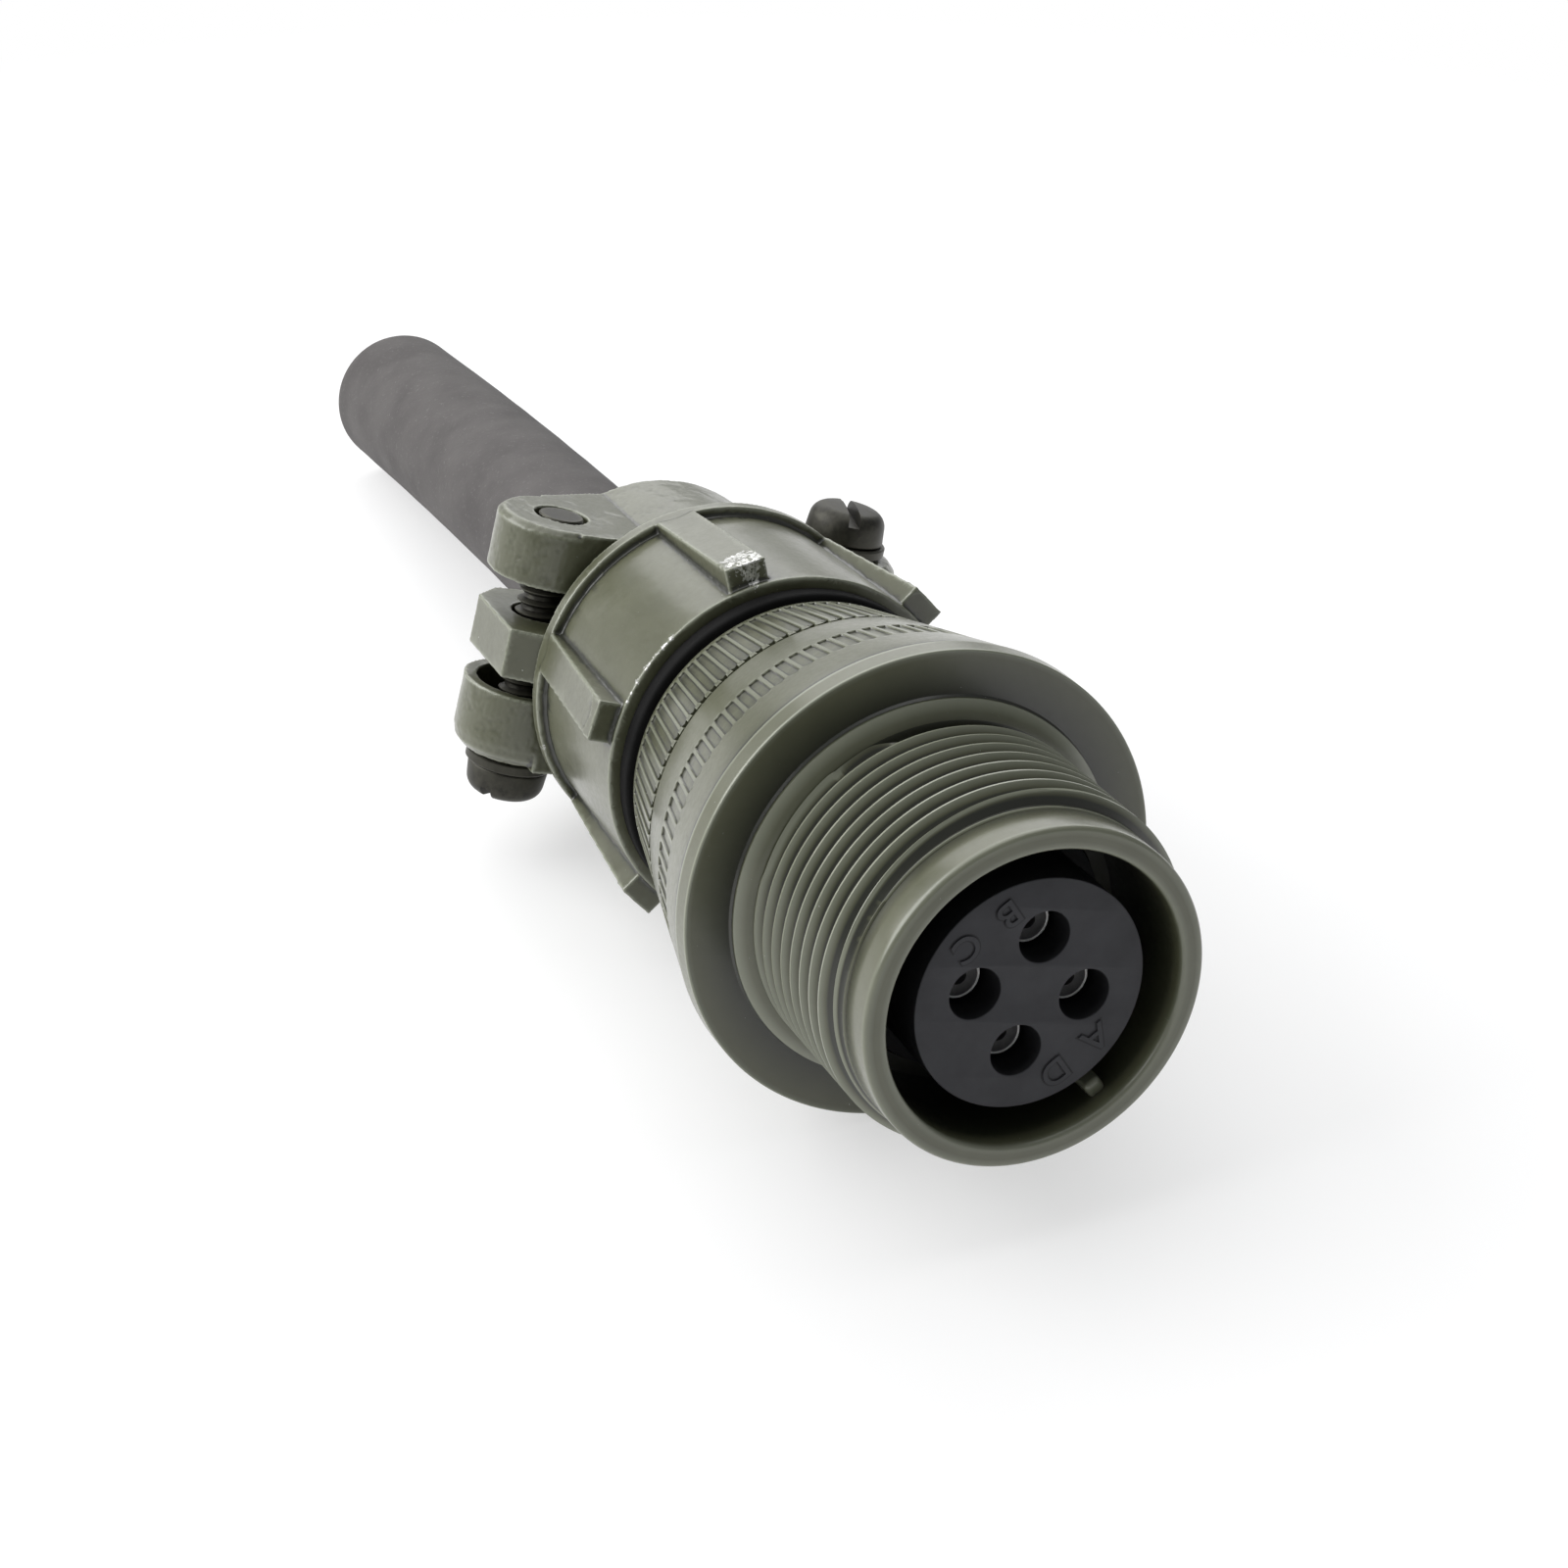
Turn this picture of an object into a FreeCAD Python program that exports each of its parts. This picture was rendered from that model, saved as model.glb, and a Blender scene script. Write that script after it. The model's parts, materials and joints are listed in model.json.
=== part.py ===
"""Circular multi-contact plug with a ribbed cable clamp, lying on its flange and saddle.

The plug's own frame: +X runs from the front lip towards the cable, and the clamp screws
stand along the clamp's Z. The finished pieces are rolled and tipped together about the
centre of the front lip, so that the plug rests on a floor, and are then lifted to it.
The finished part's origin is on that floor, under the middle of the whole part.
"""

import FreeCAD, Part
import Sketcher
import math
import os
import re

Vector = FreeCAD.Vector
Rotation = FreeCAD.Rotation
Placement = FreeCAD.Placement

SIZES = {
    # front shell, lengths along the axis from the lip and radii
    "lip_radius": 10.35,
    "lip_bevel": 0.4,
    "relief_start": 2.7,
    "relief_radius": 10.2,
    "thread_start": 3.6,
    "thread_length": 9.8,
    "thread_radius": 11.11,
    "thread_lead": 0.7,
    "neck_length": 1.1,
    "neck_radius": 12.1,
    "flange_thickness": 1.5,
    "flange_radius": 14.87,
    "flange_bevel": 0.2,
    "cone_drop": 0.06,
    "cone_slope": 0.2256,
    "taper_length": 9.9,
    "mouth_radius": 9.0,
    "mouth_depth": 8.2,
    "web_radius": 8.0,
    "web_thickness": 1.2,
    "cavity_radius": 8.9,
    "spigot_length": 4.4,
    "shell_end_wall": 2.42,
    # polarising key on the wall of the mouth
    "key_angle": -133.5,
    "key_width": 0.95,
    "key_front": 1.3,
    "key_radius": 8.2,
    "key_nose": 0.5,
    "key_root": 0.4,
    # straight knurl in two rows
    "knurl_teeth": 88,
    "knurl_width": 0.46,
    "knurl_depth": 0.42,
    "knurl_setback": 3.4,
    "knurl_length": 3.1,
    "knurl_margin": 0.4,
    # insert of two halves, and its snap ring
    "insert_face": 0.9,
    "insert_radius": 7.0,
    "insert_step": 0.6,
    "insert_shoulder_length": 1.6,
    "rear_insert_length": 8.0,
    "ring_groove_radius": 9.5,
    "ring_thickness": 0.9,
    "ring_hole_radius": 8.1,
    "ring_gap": 24.0,
    # socket contacts
    "contact_circle": 3.45,
    "contact_hole_radius": 1.42,
    "contact_front": 3.9,
    "contact_radius": 1.3,
    "hood_wall": 0.12,
    "hood_recess": 0.3,
    "socket_radius": 0.8,
    "socket_depth": 6.0,
    "collar_radius": 1.62,
    "collar_length": 2.1,
    "tail_radius": 1.2,
    "tail_length": 6.0,
    "solder_cup_radius": 0.85,
    "solder_cup_depth": 4.0,
    # endbell
    "endbell_length": 6.8,
    "spigot_wall": 1.5,
    "endbell_bore": 7.6,
    "rear_bore_length": 4.7,
    "rear_neck_radius": 9.52,
    "rear_neck_length": 8.8,
    # sealing ring between the endbell and the clamp
    "seal_thickness": 1.8,
    "seal_radius": 11.3,
    "seal_groove_width": 0.5,
    "seal_groove_depth": 0.9,
    # clamp body
    "clamp_length": 13.7,
    "clamp_front_radius": 11.95,
    "clamp_panel_radius": 11.55,
    "clamp_web": 2.2,
    "rim_width": 1.0,
    "rim_radius": 12.2,
    "rib_count": 6,
    "rib_angle": 25.0,
    "rib_width": 2.7,
    "rib_setback": 0.5,
    "rib_radius": 13.4,
    "rib_root": 1.0,
    # lugs on each side of the clamp body
    "screw_setback": 5.0,
    "screw_offset": 10.45,
    "lug_half_height": 1.7,
    "lug_half_width": 3.45,
    "lug_reach": 4.6,
    "lug_corner": 1.8,
    "lug_hole_radius": 1.95,
    "lug_root": 1.2,
    # saddles, two alike
    "ear_radius": 4.2,
    "ear_bottom": 4.5,
    "ear_top": 8.6,
    "ear_bevel": 0.4,
    "cup_mouth": 3.2,
    "cup_top": 8.2,
    "cup_round": 1.4,
    "cup_well_radius": 3.3,
    "cup_well_depth": 3.4,
    "arch_radius": 10.06,
    "arch_flare": 1.9,
    "arch_half_width": 5.2,
    "arch_foot": 6.7,
    # clamp screws and split lock washers
    "shank_radius": 1.75,
    "head_radius": 2.75,
    "head_height": 2.3,
    "head_round": 0.8,
    "slot_width": 0.9,
    "slot_depth": 1.1,
    "washer_radius": 3.0,
    "washer_thickness": 0.9,
    "washer_gap": 14.0,
    # rubber cable sleeve
    "sleeve_radius": 5.56,
    "sleeve_bore": 3.96,
    "sleeve_inset": 1.5,
    "sleeve_collar_length": 2.6,
    "sleeve_collar_radius": 8.6,
    "sleeve_straight": 8.8,
    "sleeve_bend_length": 44.0,
    "sleeve_end_length": 12.0,
    # clearances
    "fit_gap": 0.08,
    "insert_gap": 0.06,
    "thread_gap": 0.05,
    "screw_gap": 0.15,
    "groove_gap": 0.2,
    "sleeve_gap": 0.34,
    "floor_gap": 0.05,
    # roll of the clamp about the plug's axis where the plug rests
    "rest_roll": 16.0,
}

# Stations along the axis, each tied to the piece in front of it, and radii tied to others
STATIONS = {
    "thread_end": "thread_start + thread_length",
    "flange_front": "thread_end + neck_length",
    "flange_back": "flange_front + flange_thickness",
    "knurl_start": "flange_back + knurl_setback",
    "knurl_end": "knurl_start + knurl_length",
    "shell_back": "flange_back + taper_length",
    "web_back": "mouth_depth + web_thickness",
    "insert_shoulder": "mouth_depth - insert_step",
    "insert_split": "web_back + insert_shoulder_length",
    "insert_back": "insert_split + rear_insert_length",
    "contact_back": "insert_back + tail_length",
    "spigot_seat": "shell_back - spigot_length",
    "shell_end_radius": "flange_radius - cone_drop - cone_slope * taper_length",
    "spigot_radius": "shell_end_radius - shell_end_wall",
    "endbell_front_bore": "spigot_radius - spigot_wall",
    "endbell_back": "shell_back + endbell_length",
    "bore_step": "endbell_back - rear_bore_length",
    "neck_back": "endbell_back + rear_neck_length",
    "clamp_front": "endbell_back + seal_thickness",
    "rib_start": "clamp_front + rib_setback",
    "clamp_back": "clamp_front + clamp_length",
    "rim_front": "clamp_back - rim_width",
    "clamp_web_front": "clamp_back - clamp_web",
    "screw_station": "clamp_back + screw_setback",
    "sleeve_front": "neck_back - sleeve_inset",
    "sleeve_bend_start": "screw_station + sleeve_straight",
}

# How far the sleeve's long bend may turn up or down, in radians
SLEEVE_TURNS = (-0.61, 0.9)

doc = FreeCAD.newDocument("circular_plug")
sheet = doc.addObject("Spreadsheet::Sheet", "Sizes")
pieces = []


def add_cell(alias, content):
    """Write a number or a formula into the next free row of the sheet and name its cell."""
    row = len(add_cell.names) + 1
    sheet.set("A%d" % row, alias)
    sheet.set("B%d" % row, "=%s" % content)
    sheet.setAlias("B%d" % row, alias)
    add_cell.names.append(alias)


add_cell.names = []


def formula(text):
    """Turn a formula in plain size names into one that reads the sheet's cells."""
    def cell(match):
        word = match.group()
        return "Sizes." + word if word in add_cell.names else word
    return re.sub(r"[a-z][a-z_]*", cell, text)


def value(text):
    """Work a formula out to a number."""
    return float(sheet.evalExpression(formula(text)))


def origin(body, role):
    """Find a plane or an axis of the body's own origin."""
    return [item for item in body.Origin.OriginFeatures if item.Role == role][0]


def new_body(label):
    """Start the body of one piece."""
    body = doc.addObject("PartDesign::Body", label)
    body.Label = label
    return body


def new_sketch(body, name, plane, offset="0", turn="0", turn_axis=Vector(1, 0, 0)):
    """Attach a sketch to one of the body's planes, moved along its normal and turned."""
    sketch = body.newObject("Sketcher::SketchObject", name)
    sketch.AttachmentSupport = [(origin(body, plane), "")]
    sketch.MapMode = "FlatFace"
    sketch.AttachmentOffset = Placement(Vector(0, 0, value(offset)),
                                        Rotation(turn_axis, value(turn)))
    if offset != "0":
        sketch.setExpression(".AttachmentOffset.Base.z", formula(offset))
    if turn != "0":
        sketch.setExpression(".AttachmentOffset.Rotation.Angle", formula(turn))
    return sketch


def bind(sketch, kind, *args):
    """Add a constraint whose size follows a formula."""
    text = args[-1]
    index = sketch.addConstraint(Sketcher.Constraint(kind, *args[:-1], value(text)))
    sketch.setExpression("Constraints[%d]" % index, formula(text))


def draw_outline(sketch, points, arcs=None):
    """Draw a closed outline through points given as pairs of formulas.

    arcs gives, for a side's number, the radius of an arc about the sketch's origin.
    The ends of such an arc keep their height, and the radius sets how far out they are.
    """
    arcs = arcs or {}
    first = sketch.GeometryCount
    count = len(points)
    spots = [Vector(value(across), value(up), 0) for across, up in points]
    for side in range(count):
        start = spots[side]
        end = spots[(side + 1) % count]
        if side in arcs:
            radius = value(arcs[side])
            circle = Part.Circle(Vector(0, 0, 0), Vector(0, 0, 1), radius)
            angles = [math.atan2(spot.y, spot.x) for spot in (start, end)]
            sketch.addGeometry(Part.ArcOfCircle(circle, min(angles), max(angles)))
        else:
            sketch.addGeometry(Part.LineSegment(start, end))

    def ends(side):
        """The numbers of the start point and the end point of a side."""
        if side in arcs:
            start = spots[side]
            end = spots[(side + 1) % count]
            backwards = math.atan2(start.y, start.x) > math.atan2(end.y, end.x)
            return (2, 1) if backwards else (1, 2)
        return (1, 2)

    for side in range(count):
        following = (side + 1) % count
        sketch.addConstraint(Sketcher.Constraint(
            "Coincident", first + side, ends(side)[1], first + following, ends(following)[0]))
        across, up = points[side]
        if side not in arcs and (side - 1) % count not in arcs:
            bind(sketch, "DistanceX", first + side, ends(side)[0], across)
        bind(sketch, "DistanceY", first + side, ends(side)[0], up)
        if side in arcs:
            sketch.addConstraint(Sketcher.Constraint("Coincident", first + side, 3, -1, 1))
            bind(sketch, "Radius", first + side, arcs[side])


def draw_circle(sketch, across, up, radius):
    """Draw a circle whose centre and radius follow formulas."""
    middle = Vector(value(across), value(up), 0)
    index = sketch.addGeometry(Part.Circle(middle, Vector(0, 0, 1), value(radius)))
    bind(sketch, "DistanceX", index, 3, across)
    bind(sketch, "DistanceY", index, 3, up)
    bind(sketch, "Radius", index, radius)


def extrude(body, sketch, kind, name, length, symmetric=False, reversed_way=False):
    """Pad or pocket a sketch by a length that follows a formula, and check its effect."""
    before = body.Tip.Shape.Volume if body.Tip else 0.0
    feature = body.newObject(kind, name)
    feature.Profile = sketch
    feature.setExpression("Length", formula(length))
    feature.SideType = "Symmetric" if symmetric else "One side"
    feature.Reversed = reversed_way
    doc.recompute()
    change = feature.Shape.Volume - before
    grows = kind == "PartDesign::Pad"
    assert change > 0 if grows else change < 0, "%s of %s does nothing" % (name, body.Label)
    return feature


def revolve(body, name, points, axis="X_Axis", angle="360"):
    """Turn an outline in the XZ plane about an axis of the body."""
    sketch = new_sketch(body, name + "_outline", "XZ_Plane")
    draw_outline(sketch, points)
    return turn_outline(body, name, sketch, (origin(body, axis), [""]), angle)


def revolve_upright(body, name, points, along, aside):
    """Turn an outline about an upright line at a place along the plug and beside it."""
    sketch = new_sketch(body, name + "_outline", "XZ_Plane", offset="-(%s)" % aside)
    sketch.setExpression(".AttachmentOffset.Base.x", formula(along))
    draw_outline(sketch, points)
    return turn_outline(body, name, sketch, (sketch, ["V_Axis"]), "360")


def turn_outline(body, name, sketch, axis, angle):
    """Turn a sketch about an axis by an angle that follows a formula."""
    feature = body.newObject("PartDesign::Revolution", name)
    feature.Profile = sketch
    feature.ReferenceAxis = axis
    feature.setExpression("Angle", formula(angle))
    doc.recompute()
    return feature


def pattern(body, name, feature, count):
    """Repeat a feature evenly round the plug's axis."""
    ring = body.newObject("PartDesign::PolarPattern", name)
    ring.Originals = [feature]
    ring.Axis = (origin(body, "X_Axis"), [""])
    ring.Angle = 360
    ring.setExpression("Occurrences", formula(count))
    body.Tip = ring
    doc.recompute()
    return ring


def seat(body, local=Placement()):
    """Give a piece its place in the plug and lay the plug down, then list the piece."""
    body.Placement = rest * local
    pieces.append(body)


CONE = "flange_radius - cone_drop - cone_slope * (%s - flange_back)"


def cone_at(station):
    """Radius of the tapered outside that the front shell and the endbell share."""
    return CONE % station


def cut_knurl(body, start, end):
    """Cut one row of straight teeth into the tapered outside."""
    sketch = new_sketch(body, "knurl_outline", "XZ_Plane")
    draw_outline(sketch, [
        (start, cone_at(start) + " - knurl_depth"),
        (end, cone_at(end) + " - knurl_depth"),
        (end, cone_at(end) + " + knurl_depth"),
        (start, cone_at(start) + " + knurl_depth"),
    ])
    notch = extrude(body, sketch, "PartDesign::Pocket", "knurl_notch", "knurl_width", symmetric=True)
    pattern(body, "knurl", notch, "knurl_teeth")


def make_front_shell():
    """Shell with the coupling thread, the flange and the front half of the taper."""
    body = new_body("front_shell")
    revolve(body, "turned_form", [
        ("lip_bevel", "mouth_radius"),
        ("0", "mouth_radius + lip_bevel"),
        ("0", "lip_radius - lip_bevel"),
        ("lip_bevel", "lip_radius"),
        ("relief_start", "lip_radius"),
        ("relief_start", "relief_radius"),
        ("thread_start", "relief_radius"),
        ("thread_start + thread_lead", "thread_radius"),
        ("thread_end", "thread_radius"),
        ("thread_end", "neck_radius"),
        ("flange_front", "neck_radius"),
        ("flange_front", "flange_radius - flange_bevel"),
        ("flange_front + flange_bevel", "flange_radius"),
        ("flange_back", "flange_radius"),
        ("flange_back", cone_at("flange_back")),
        ("shell_back", "shell_end_radius"),
        ("shell_back", "spigot_radius + fit_gap"),
        ("spigot_seat", "spigot_radius + fit_gap"),
        ("spigot_seat", "cavity_radius"),
        ("insert_back + ring_thickness + insert_gap", "cavity_radius"),
        ("insert_back + ring_thickness + insert_gap", "ring_groove_radius"),
        ("insert_back", "ring_groove_radius"),
        ("insert_back", "cavity_radius"),
        ("web_back", "cavity_radius"),
        ("web_back", "web_radius"),
        ("mouth_depth", "web_radius"),
        ("mouth_depth", "mouth_radius"),
    ])
    key = new_sketch(body, "key_outline", "XZ_Plane", turn="-key_angle")
    draw_outline(key, [
        ("key_front", "mouth_radius + key_root"),
        ("key_front", "key_radius + key_nose"),
        ("key_front + key_nose", "key_radius"),
        ("mouth_depth + key_root", "key_radius"),
        ("mouth_depth + key_root", "mouth_radius + key_root"),
    ])
    extrude(body, key, "PartDesign::Pad", "key", "key_width", symmetric=True)
    cut_knurl(body, "knurl_start", "knurl_end")
    seat(body)


def make_front_insert():
    """Moulded disc that faces the mating half, with a shoulder behind the shell's web."""
    body = new_body("front_insert")
    revolve(body, "turned_form", [
        ("insert_face", "0"),
        ("insert_face", "insert_radius"),
        ("insert_shoulder", "insert_radius"),
        ("insert_shoulder", "web_radius - insert_gap"),
        ("web_back", "web_radius - insert_gap"),
        ("web_back", "cavity_radius - insert_gap"),
        ("insert_split", "cavity_radius - insert_gap"),
        ("insert_split", "0"),
    ])
    bore_contacts(body, "contact_bore", "insert_face", "contact_hole_radius",
                  "insert_split - insert_face")
    seat(body)


def bore_contacts(body, name, start, radius, depth):
    """Bore the four contact holes, first one and then all round the axis."""
    sketch = new_sketch(body, name + "_outline", "YZ_Plane", offset=start)
    draw_circle(sketch, "contact_circle * sin(key_angle + 45)",
                "contact_circle * cos(key_angle + 45)", radius)
    hole = extrude(body, sketch, "PartDesign::Pocket", name, depth, reversed_way=True)
    pattern(body, name + "_ring", hole, "4")


def make_rear_insert():
    """Back half of the insert, which traps the contacts' collars."""
    body = new_body("rear_insert")
    revolve(body, "turned_form", [
        ("insert_split", "0"),
        ("insert_split", "cavity_radius - insert_gap"),
        ("insert_back", "cavity_radius - insert_gap"),
        ("insert_back", "0"),
    ])
    bore_contacts(body, "collar_bore", "insert_split", "collar_radius + insert_gap",
                  "collar_length + insert_gap")
    bore_contacts(body, "tail_bore", "insert_split", "tail_radius + insert_gap",
                  "insert_back - insert_split")
    seat(body)


def make_retaining_ring():
    """Open snap ring in the shell's groove, behind the insert."""
    body = new_body("insert_retaining_ring")
    revolve(body, "turned_form", [
        ("insert_back + insert_gap / 2", "ring_hole_radius"),
        ("insert_back + insert_gap / 2", "ring_groove_radius - insert_gap"),
        ("insert_back + ring_thickness", "ring_groove_radius - insert_gap"),
        ("insert_back + ring_thickness", "ring_hole_radius"),
    ], angle="360 - ring_gap")
    seat(body)


def make_contact(label, turn):
    """Socket contact with a hood, a collar and a solder cup."""
    body = new_body(label)
    revolve(body, "turned_form", [
        ("contact_front + hood_recess", "socket_radius"),
        ("contact_front + hood_recess", "contact_radius - hood_wall"),
        ("contact_front", "contact_radius - hood_wall"),
        ("contact_front", "contact_radius"),
        ("insert_split", "contact_radius"),
        ("insert_split", "collar_radius"),
        ("insert_split + collar_length", "collar_radius"),
        ("insert_split + collar_length", "tail_radius"),
        ("contact_back", "tail_radius"),
        ("contact_back", "solder_cup_radius"),
        ("contact_back - solder_cup_depth", "solder_cup_radius"),
        ("contact_back - solder_cup_depth", "0"),
        ("contact_front + socket_depth", "0"),
        ("contact_front + socket_depth", "socket_radius"),
    ])
    angle = math.radians(value("key_angle") + turn)
    circle = value("contact_circle")
    seat(body, Placement(Vector(0, circle * math.sin(angle), circle * math.cos(angle)), Rotation()))


def make_endbell():
    """Rear housing with the back half of the taper and the neck for the clamp."""
    body = new_body("endbell")
    revolve(body, "turned_form", [
        ("spigot_seat", "endbell_front_bore"),
        ("spigot_seat", "spigot_radius"),
        ("shell_back", "spigot_radius"),
        ("shell_back", "shell_end_radius"),
        ("endbell_back", cone_at("endbell_back")),
        ("endbell_back", "rear_neck_radius"),
        ("neck_back", "rear_neck_radius"),
        ("neck_back", "endbell_bore"),
        ("bore_step", "endbell_bore"),
        ("bore_step", "endbell_front_bore"),
    ])
    cut_knurl(body, "shell_back + knurl_margin", "endbell_back - knurl_margin")
    seat(body)


def make_sealing_ring():
    """Flat rubber ring with a grooved edge, squeezed between the endbell and the clamp."""
    body = new_body("sealing_ring")
    revolve(body, "turned_form", [
        ("endbell_back", "rear_neck_radius + fit_gap"),
        ("endbell_back", "seal_radius - seal_groove_depth"),
        ("endbell_back + seal_groove_width", "seal_radius - seal_groove_depth"),
        ("endbell_back + seal_groove_width", "seal_radius"),
        ("clamp_front", "seal_radius"),
        ("clamp_front", "rear_neck_radius + fit_gap"),
    ])
    seat(body)


def make_clamp_body():
    """Ribbed cup that screws onto the neck and carries a lug on each side."""
    body = new_body("clamp_body")
    revolve(body, "turned_form", [
        ("clamp_front", "rear_neck_radius + fit_gap"),
        ("clamp_front", "clamp_front_radius"),
        ("rim_front", "clamp_panel_radius"),
        ("rim_front", "rim_radius"),
        ("clamp_back", "rim_radius"),
        ("clamp_back", "sleeve_radius + sleeve_gap"),
        ("clamp_web_front", "sleeve_radius + sleeve_gap"),
        ("clamp_web_front", "rear_neck_radius + fit_gap"),
    ])
    rib = new_sketch(body, "rib_outline", "XZ_Plane", turn="-rib_angle")
    draw_outline(rib, [
        ("rib_start", "clamp_panel_radius - rib_root"),
        ("rib_start", "rib_radius"),
        ("rim_front", "rim_radius"),
        ("rim_front", "clamp_panel_radius - rib_root"),
    ])
    first_rib = extrude(body, rib, "PartDesign::Pad", "rib", "rib_width", symmetric=True)
    pattern(body, "ribs", first_rib, "rib_count")
    for side, sign in (("left", ""), ("right", "-")):
        lug = new_sketch(body, side + "_lug_outline", "XY_Plane")
        inner = sign + "(screw_offset - lug_half_width)"
        inner_corner = sign + "(screw_offset - lug_half_width + lug_corner)"
        outer_corner = sign + "(screw_offset + lug_half_width - lug_corner)"
        outer = sign + "(screw_offset + lug_half_width)"
        draw_outline(lug, [
            ("rim_front", inner),
            ("screw_station + lug_reach - lug_corner", inner),
            ("screw_station + lug_reach", inner_corner),
            ("screw_station + lug_reach", outer_corner),
            ("screw_station + lug_reach - lug_corner", outer),
            ("clamp_back + lug_root", outer),
            ("clamp_back", sign + "(rim_radius - lug_root)"),
            ("rim_front", sign + "(rim_radius - lug_root)"),
        ])
        extrude(body, lug, "PartDesign::Pad", side + "_lug", "2 * lug_half_height", symmetric=True)
        hole = new_sketch(body, side + "_hole_outline", "XY_Plane")
        draw_circle(hole, "screw_station", sign + "screw_offset", "lug_hole_radius")
        extrude(body, hole, "PartDesign::Pocket", side + "_hole", "4 * lug_half_height",
                symmetric=True)
    seat(body)


def make_saddle(label, turn):
    """Arched clamp bar with a threaded ear on one side and a cupped ear on the other."""
    body = new_body(label)
    body.AllowCompound = True
    revolve_upright(body, "ear", [
        ("0", "ear_bottom"),
        ("ear_radius", "ear_bottom"),
        ("ear_radius", "ear_top - ear_bevel"),
        ("ear_radius - ear_bevel", "ear_top"),
        ("0", "ear_top"),
    ], "screw_station", "screw_offset")
    revolve_upright(body, "cup", [
        ("0", "cup_mouth"),
        ("ear_radius", "cup_mouth"),
        ("ear_radius", "cup_top - cup_round"),
        ("ear_radius - cup_round * (1 - cos(30))", "cup_top - cup_round * (1 - sin(30))"),
        ("ear_radius - cup_round * (1 - cos(60))", "cup_top - cup_round * (1 - sin(60))"),
        ("ear_radius - cup_round", "cup_top"),
        ("0", "cup_top"),
    ], "screw_station", "-screw_offset")
    section = new_sketch(body, "bar_section", "YZ_Plane", offset="screw_station - ear_radius")
    draw_outline(section, [
        ("sqrt((sleeve_radius + groove_gap)^2 - cup_mouth^2)", "cup_mouth"),
        ("arch_foot", "cup_mouth"),
        ("arch_foot", "ear_bottom"),
        ("screw_offset", "ear_bottom"),
        ("screw_offset", "ear_top"),
        ("sqrt(arch_radius^2 - ear_top^2)", "ear_top"),
        ("-sqrt(arch_radius^2 - cup_top^2)", "cup_top"),
        ("-screw_offset", "cup_top"),
        ("-screw_offset", "cup_mouth"),
        ("-sqrt((sleeve_radius + groove_gap)^2 - cup_mouth^2)", "cup_mouth"),
    ], arcs={5: "arch_radius", 9: "sleeve_radius + groove_gap"})
    extrude(body, section, "PartDesign::Pad", "bar", "2 * ear_radius + arch_flare")
    for sign in ("", "-"):
        corner = new_sketch(body, "flare_outline", "XY_Plane", offset="ear_top")
        draw_outline(corner, [
            ("screw_station + ear_radius", sign + "screw_offset"),
            ("screw_station + ear_radius + arch_flare", sign + "arch_half_width"),
            ("screw_station + ear_radius + 2 * arch_flare", sign + "arch_half_width"),
            ("screw_station + ear_radius + 2 * arch_flare", sign + "(screw_offset + arch_flare)"),
            ("screw_station + ear_radius", sign + "(screw_offset + arch_flare)"),
        ])
        extrude(body, corner, "PartDesign::Pocket", "flare_cut", "4 * ear_top", symmetric=True)
    well = new_sketch(body, "well_outline", "XY_Plane", offset="cup_mouth")
    draw_circle(well, "screw_station", "-screw_offset", "cup_well_radius")
    extrude(body, well, "PartDesign::Pocket", "well", "cup_well_depth", reversed_way=True)
    holes = (("thread_bore", "screw_offset", "shank_radius + thread_gap"),
             ("shank_bore", "-screw_offset", "shank_radius + screw_gap"))
    for name, across, radius in holes:
        bore = new_sketch(body, name + "_outline", "XY_Plane")
        draw_circle(bore, "screw_station", across, radius)
        extrude(body, bore, "PartDesign::Pocket", name, "4 * ear_top", symmetric=True)
    seat(body, Placement(Vector(), Rotation(Vector(1, 0, 0), turn)))


def make_screw(label, turn):
    """Slotted pan-head screw, head down, through a cupped ear and into a threaded ear."""
    body = new_body(label)
    revolve(body, "turned_form", [
        ("0", "-cup_top - washer_thickness - head_height"),
        ("head_radius - head_round", "-cup_top - washer_thickness - head_height"),
        ("head_radius", "-cup_top - washer_thickness - head_height + head_round"),
        ("head_radius", "-cup_top - washer_thickness"),
        ("shank_radius", "-cup_top - washer_thickness"),
        ("shank_radius", "ear_top"),
        ("0", "ear_top"),
    ], axis="Z_Axis")
    slot = new_sketch(body, "slot_outline", "XZ_Plane")
    draw_outline(slot, [
        ("-slot_width / 2", "-cup_top - washer_thickness - head_height - slot_depth"),
        ("slot_width / 2", "-cup_top - washer_thickness - head_height - slot_depth"),
        ("slot_width / 2", "-cup_top - washer_thickness - head_height + slot_depth"),
        ("-slot_width / 2", "-cup_top - washer_thickness - head_height + slot_depth"),
    ])
    extrude(body, slot, "PartDesign::Pocket", "slot", "4 * head_radius", symmetric=True)
    seat(body, stack_place(turn))


def make_lock_washer(label, turn):
    """Split spring washer between the screw's head and the cupped ear."""
    body = new_body(label)
    revolve(body, "turned_form", [
        ("shank_radius + screw_gap", "-cup_top - washer_thickness"),
        ("washer_radius", "-cup_top - washer_thickness"),
        ("washer_radius", "-cup_top"),
        ("shank_radius + screw_gap", "-cup_top"),
    ], axis="Z_Axis", angle="360 - washer_gap")
    seat(body, stack_place(turn))


def stack_place(turn):
    """Place of a screw's axis, on the left or turned half round to the right."""
    place = Vector(value("screw_station"), value("screw_offset"), 0)
    return Placement(Vector(), Rotation(Vector(1, 0, 0), turn)) * Placement(place, Rotation())


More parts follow.
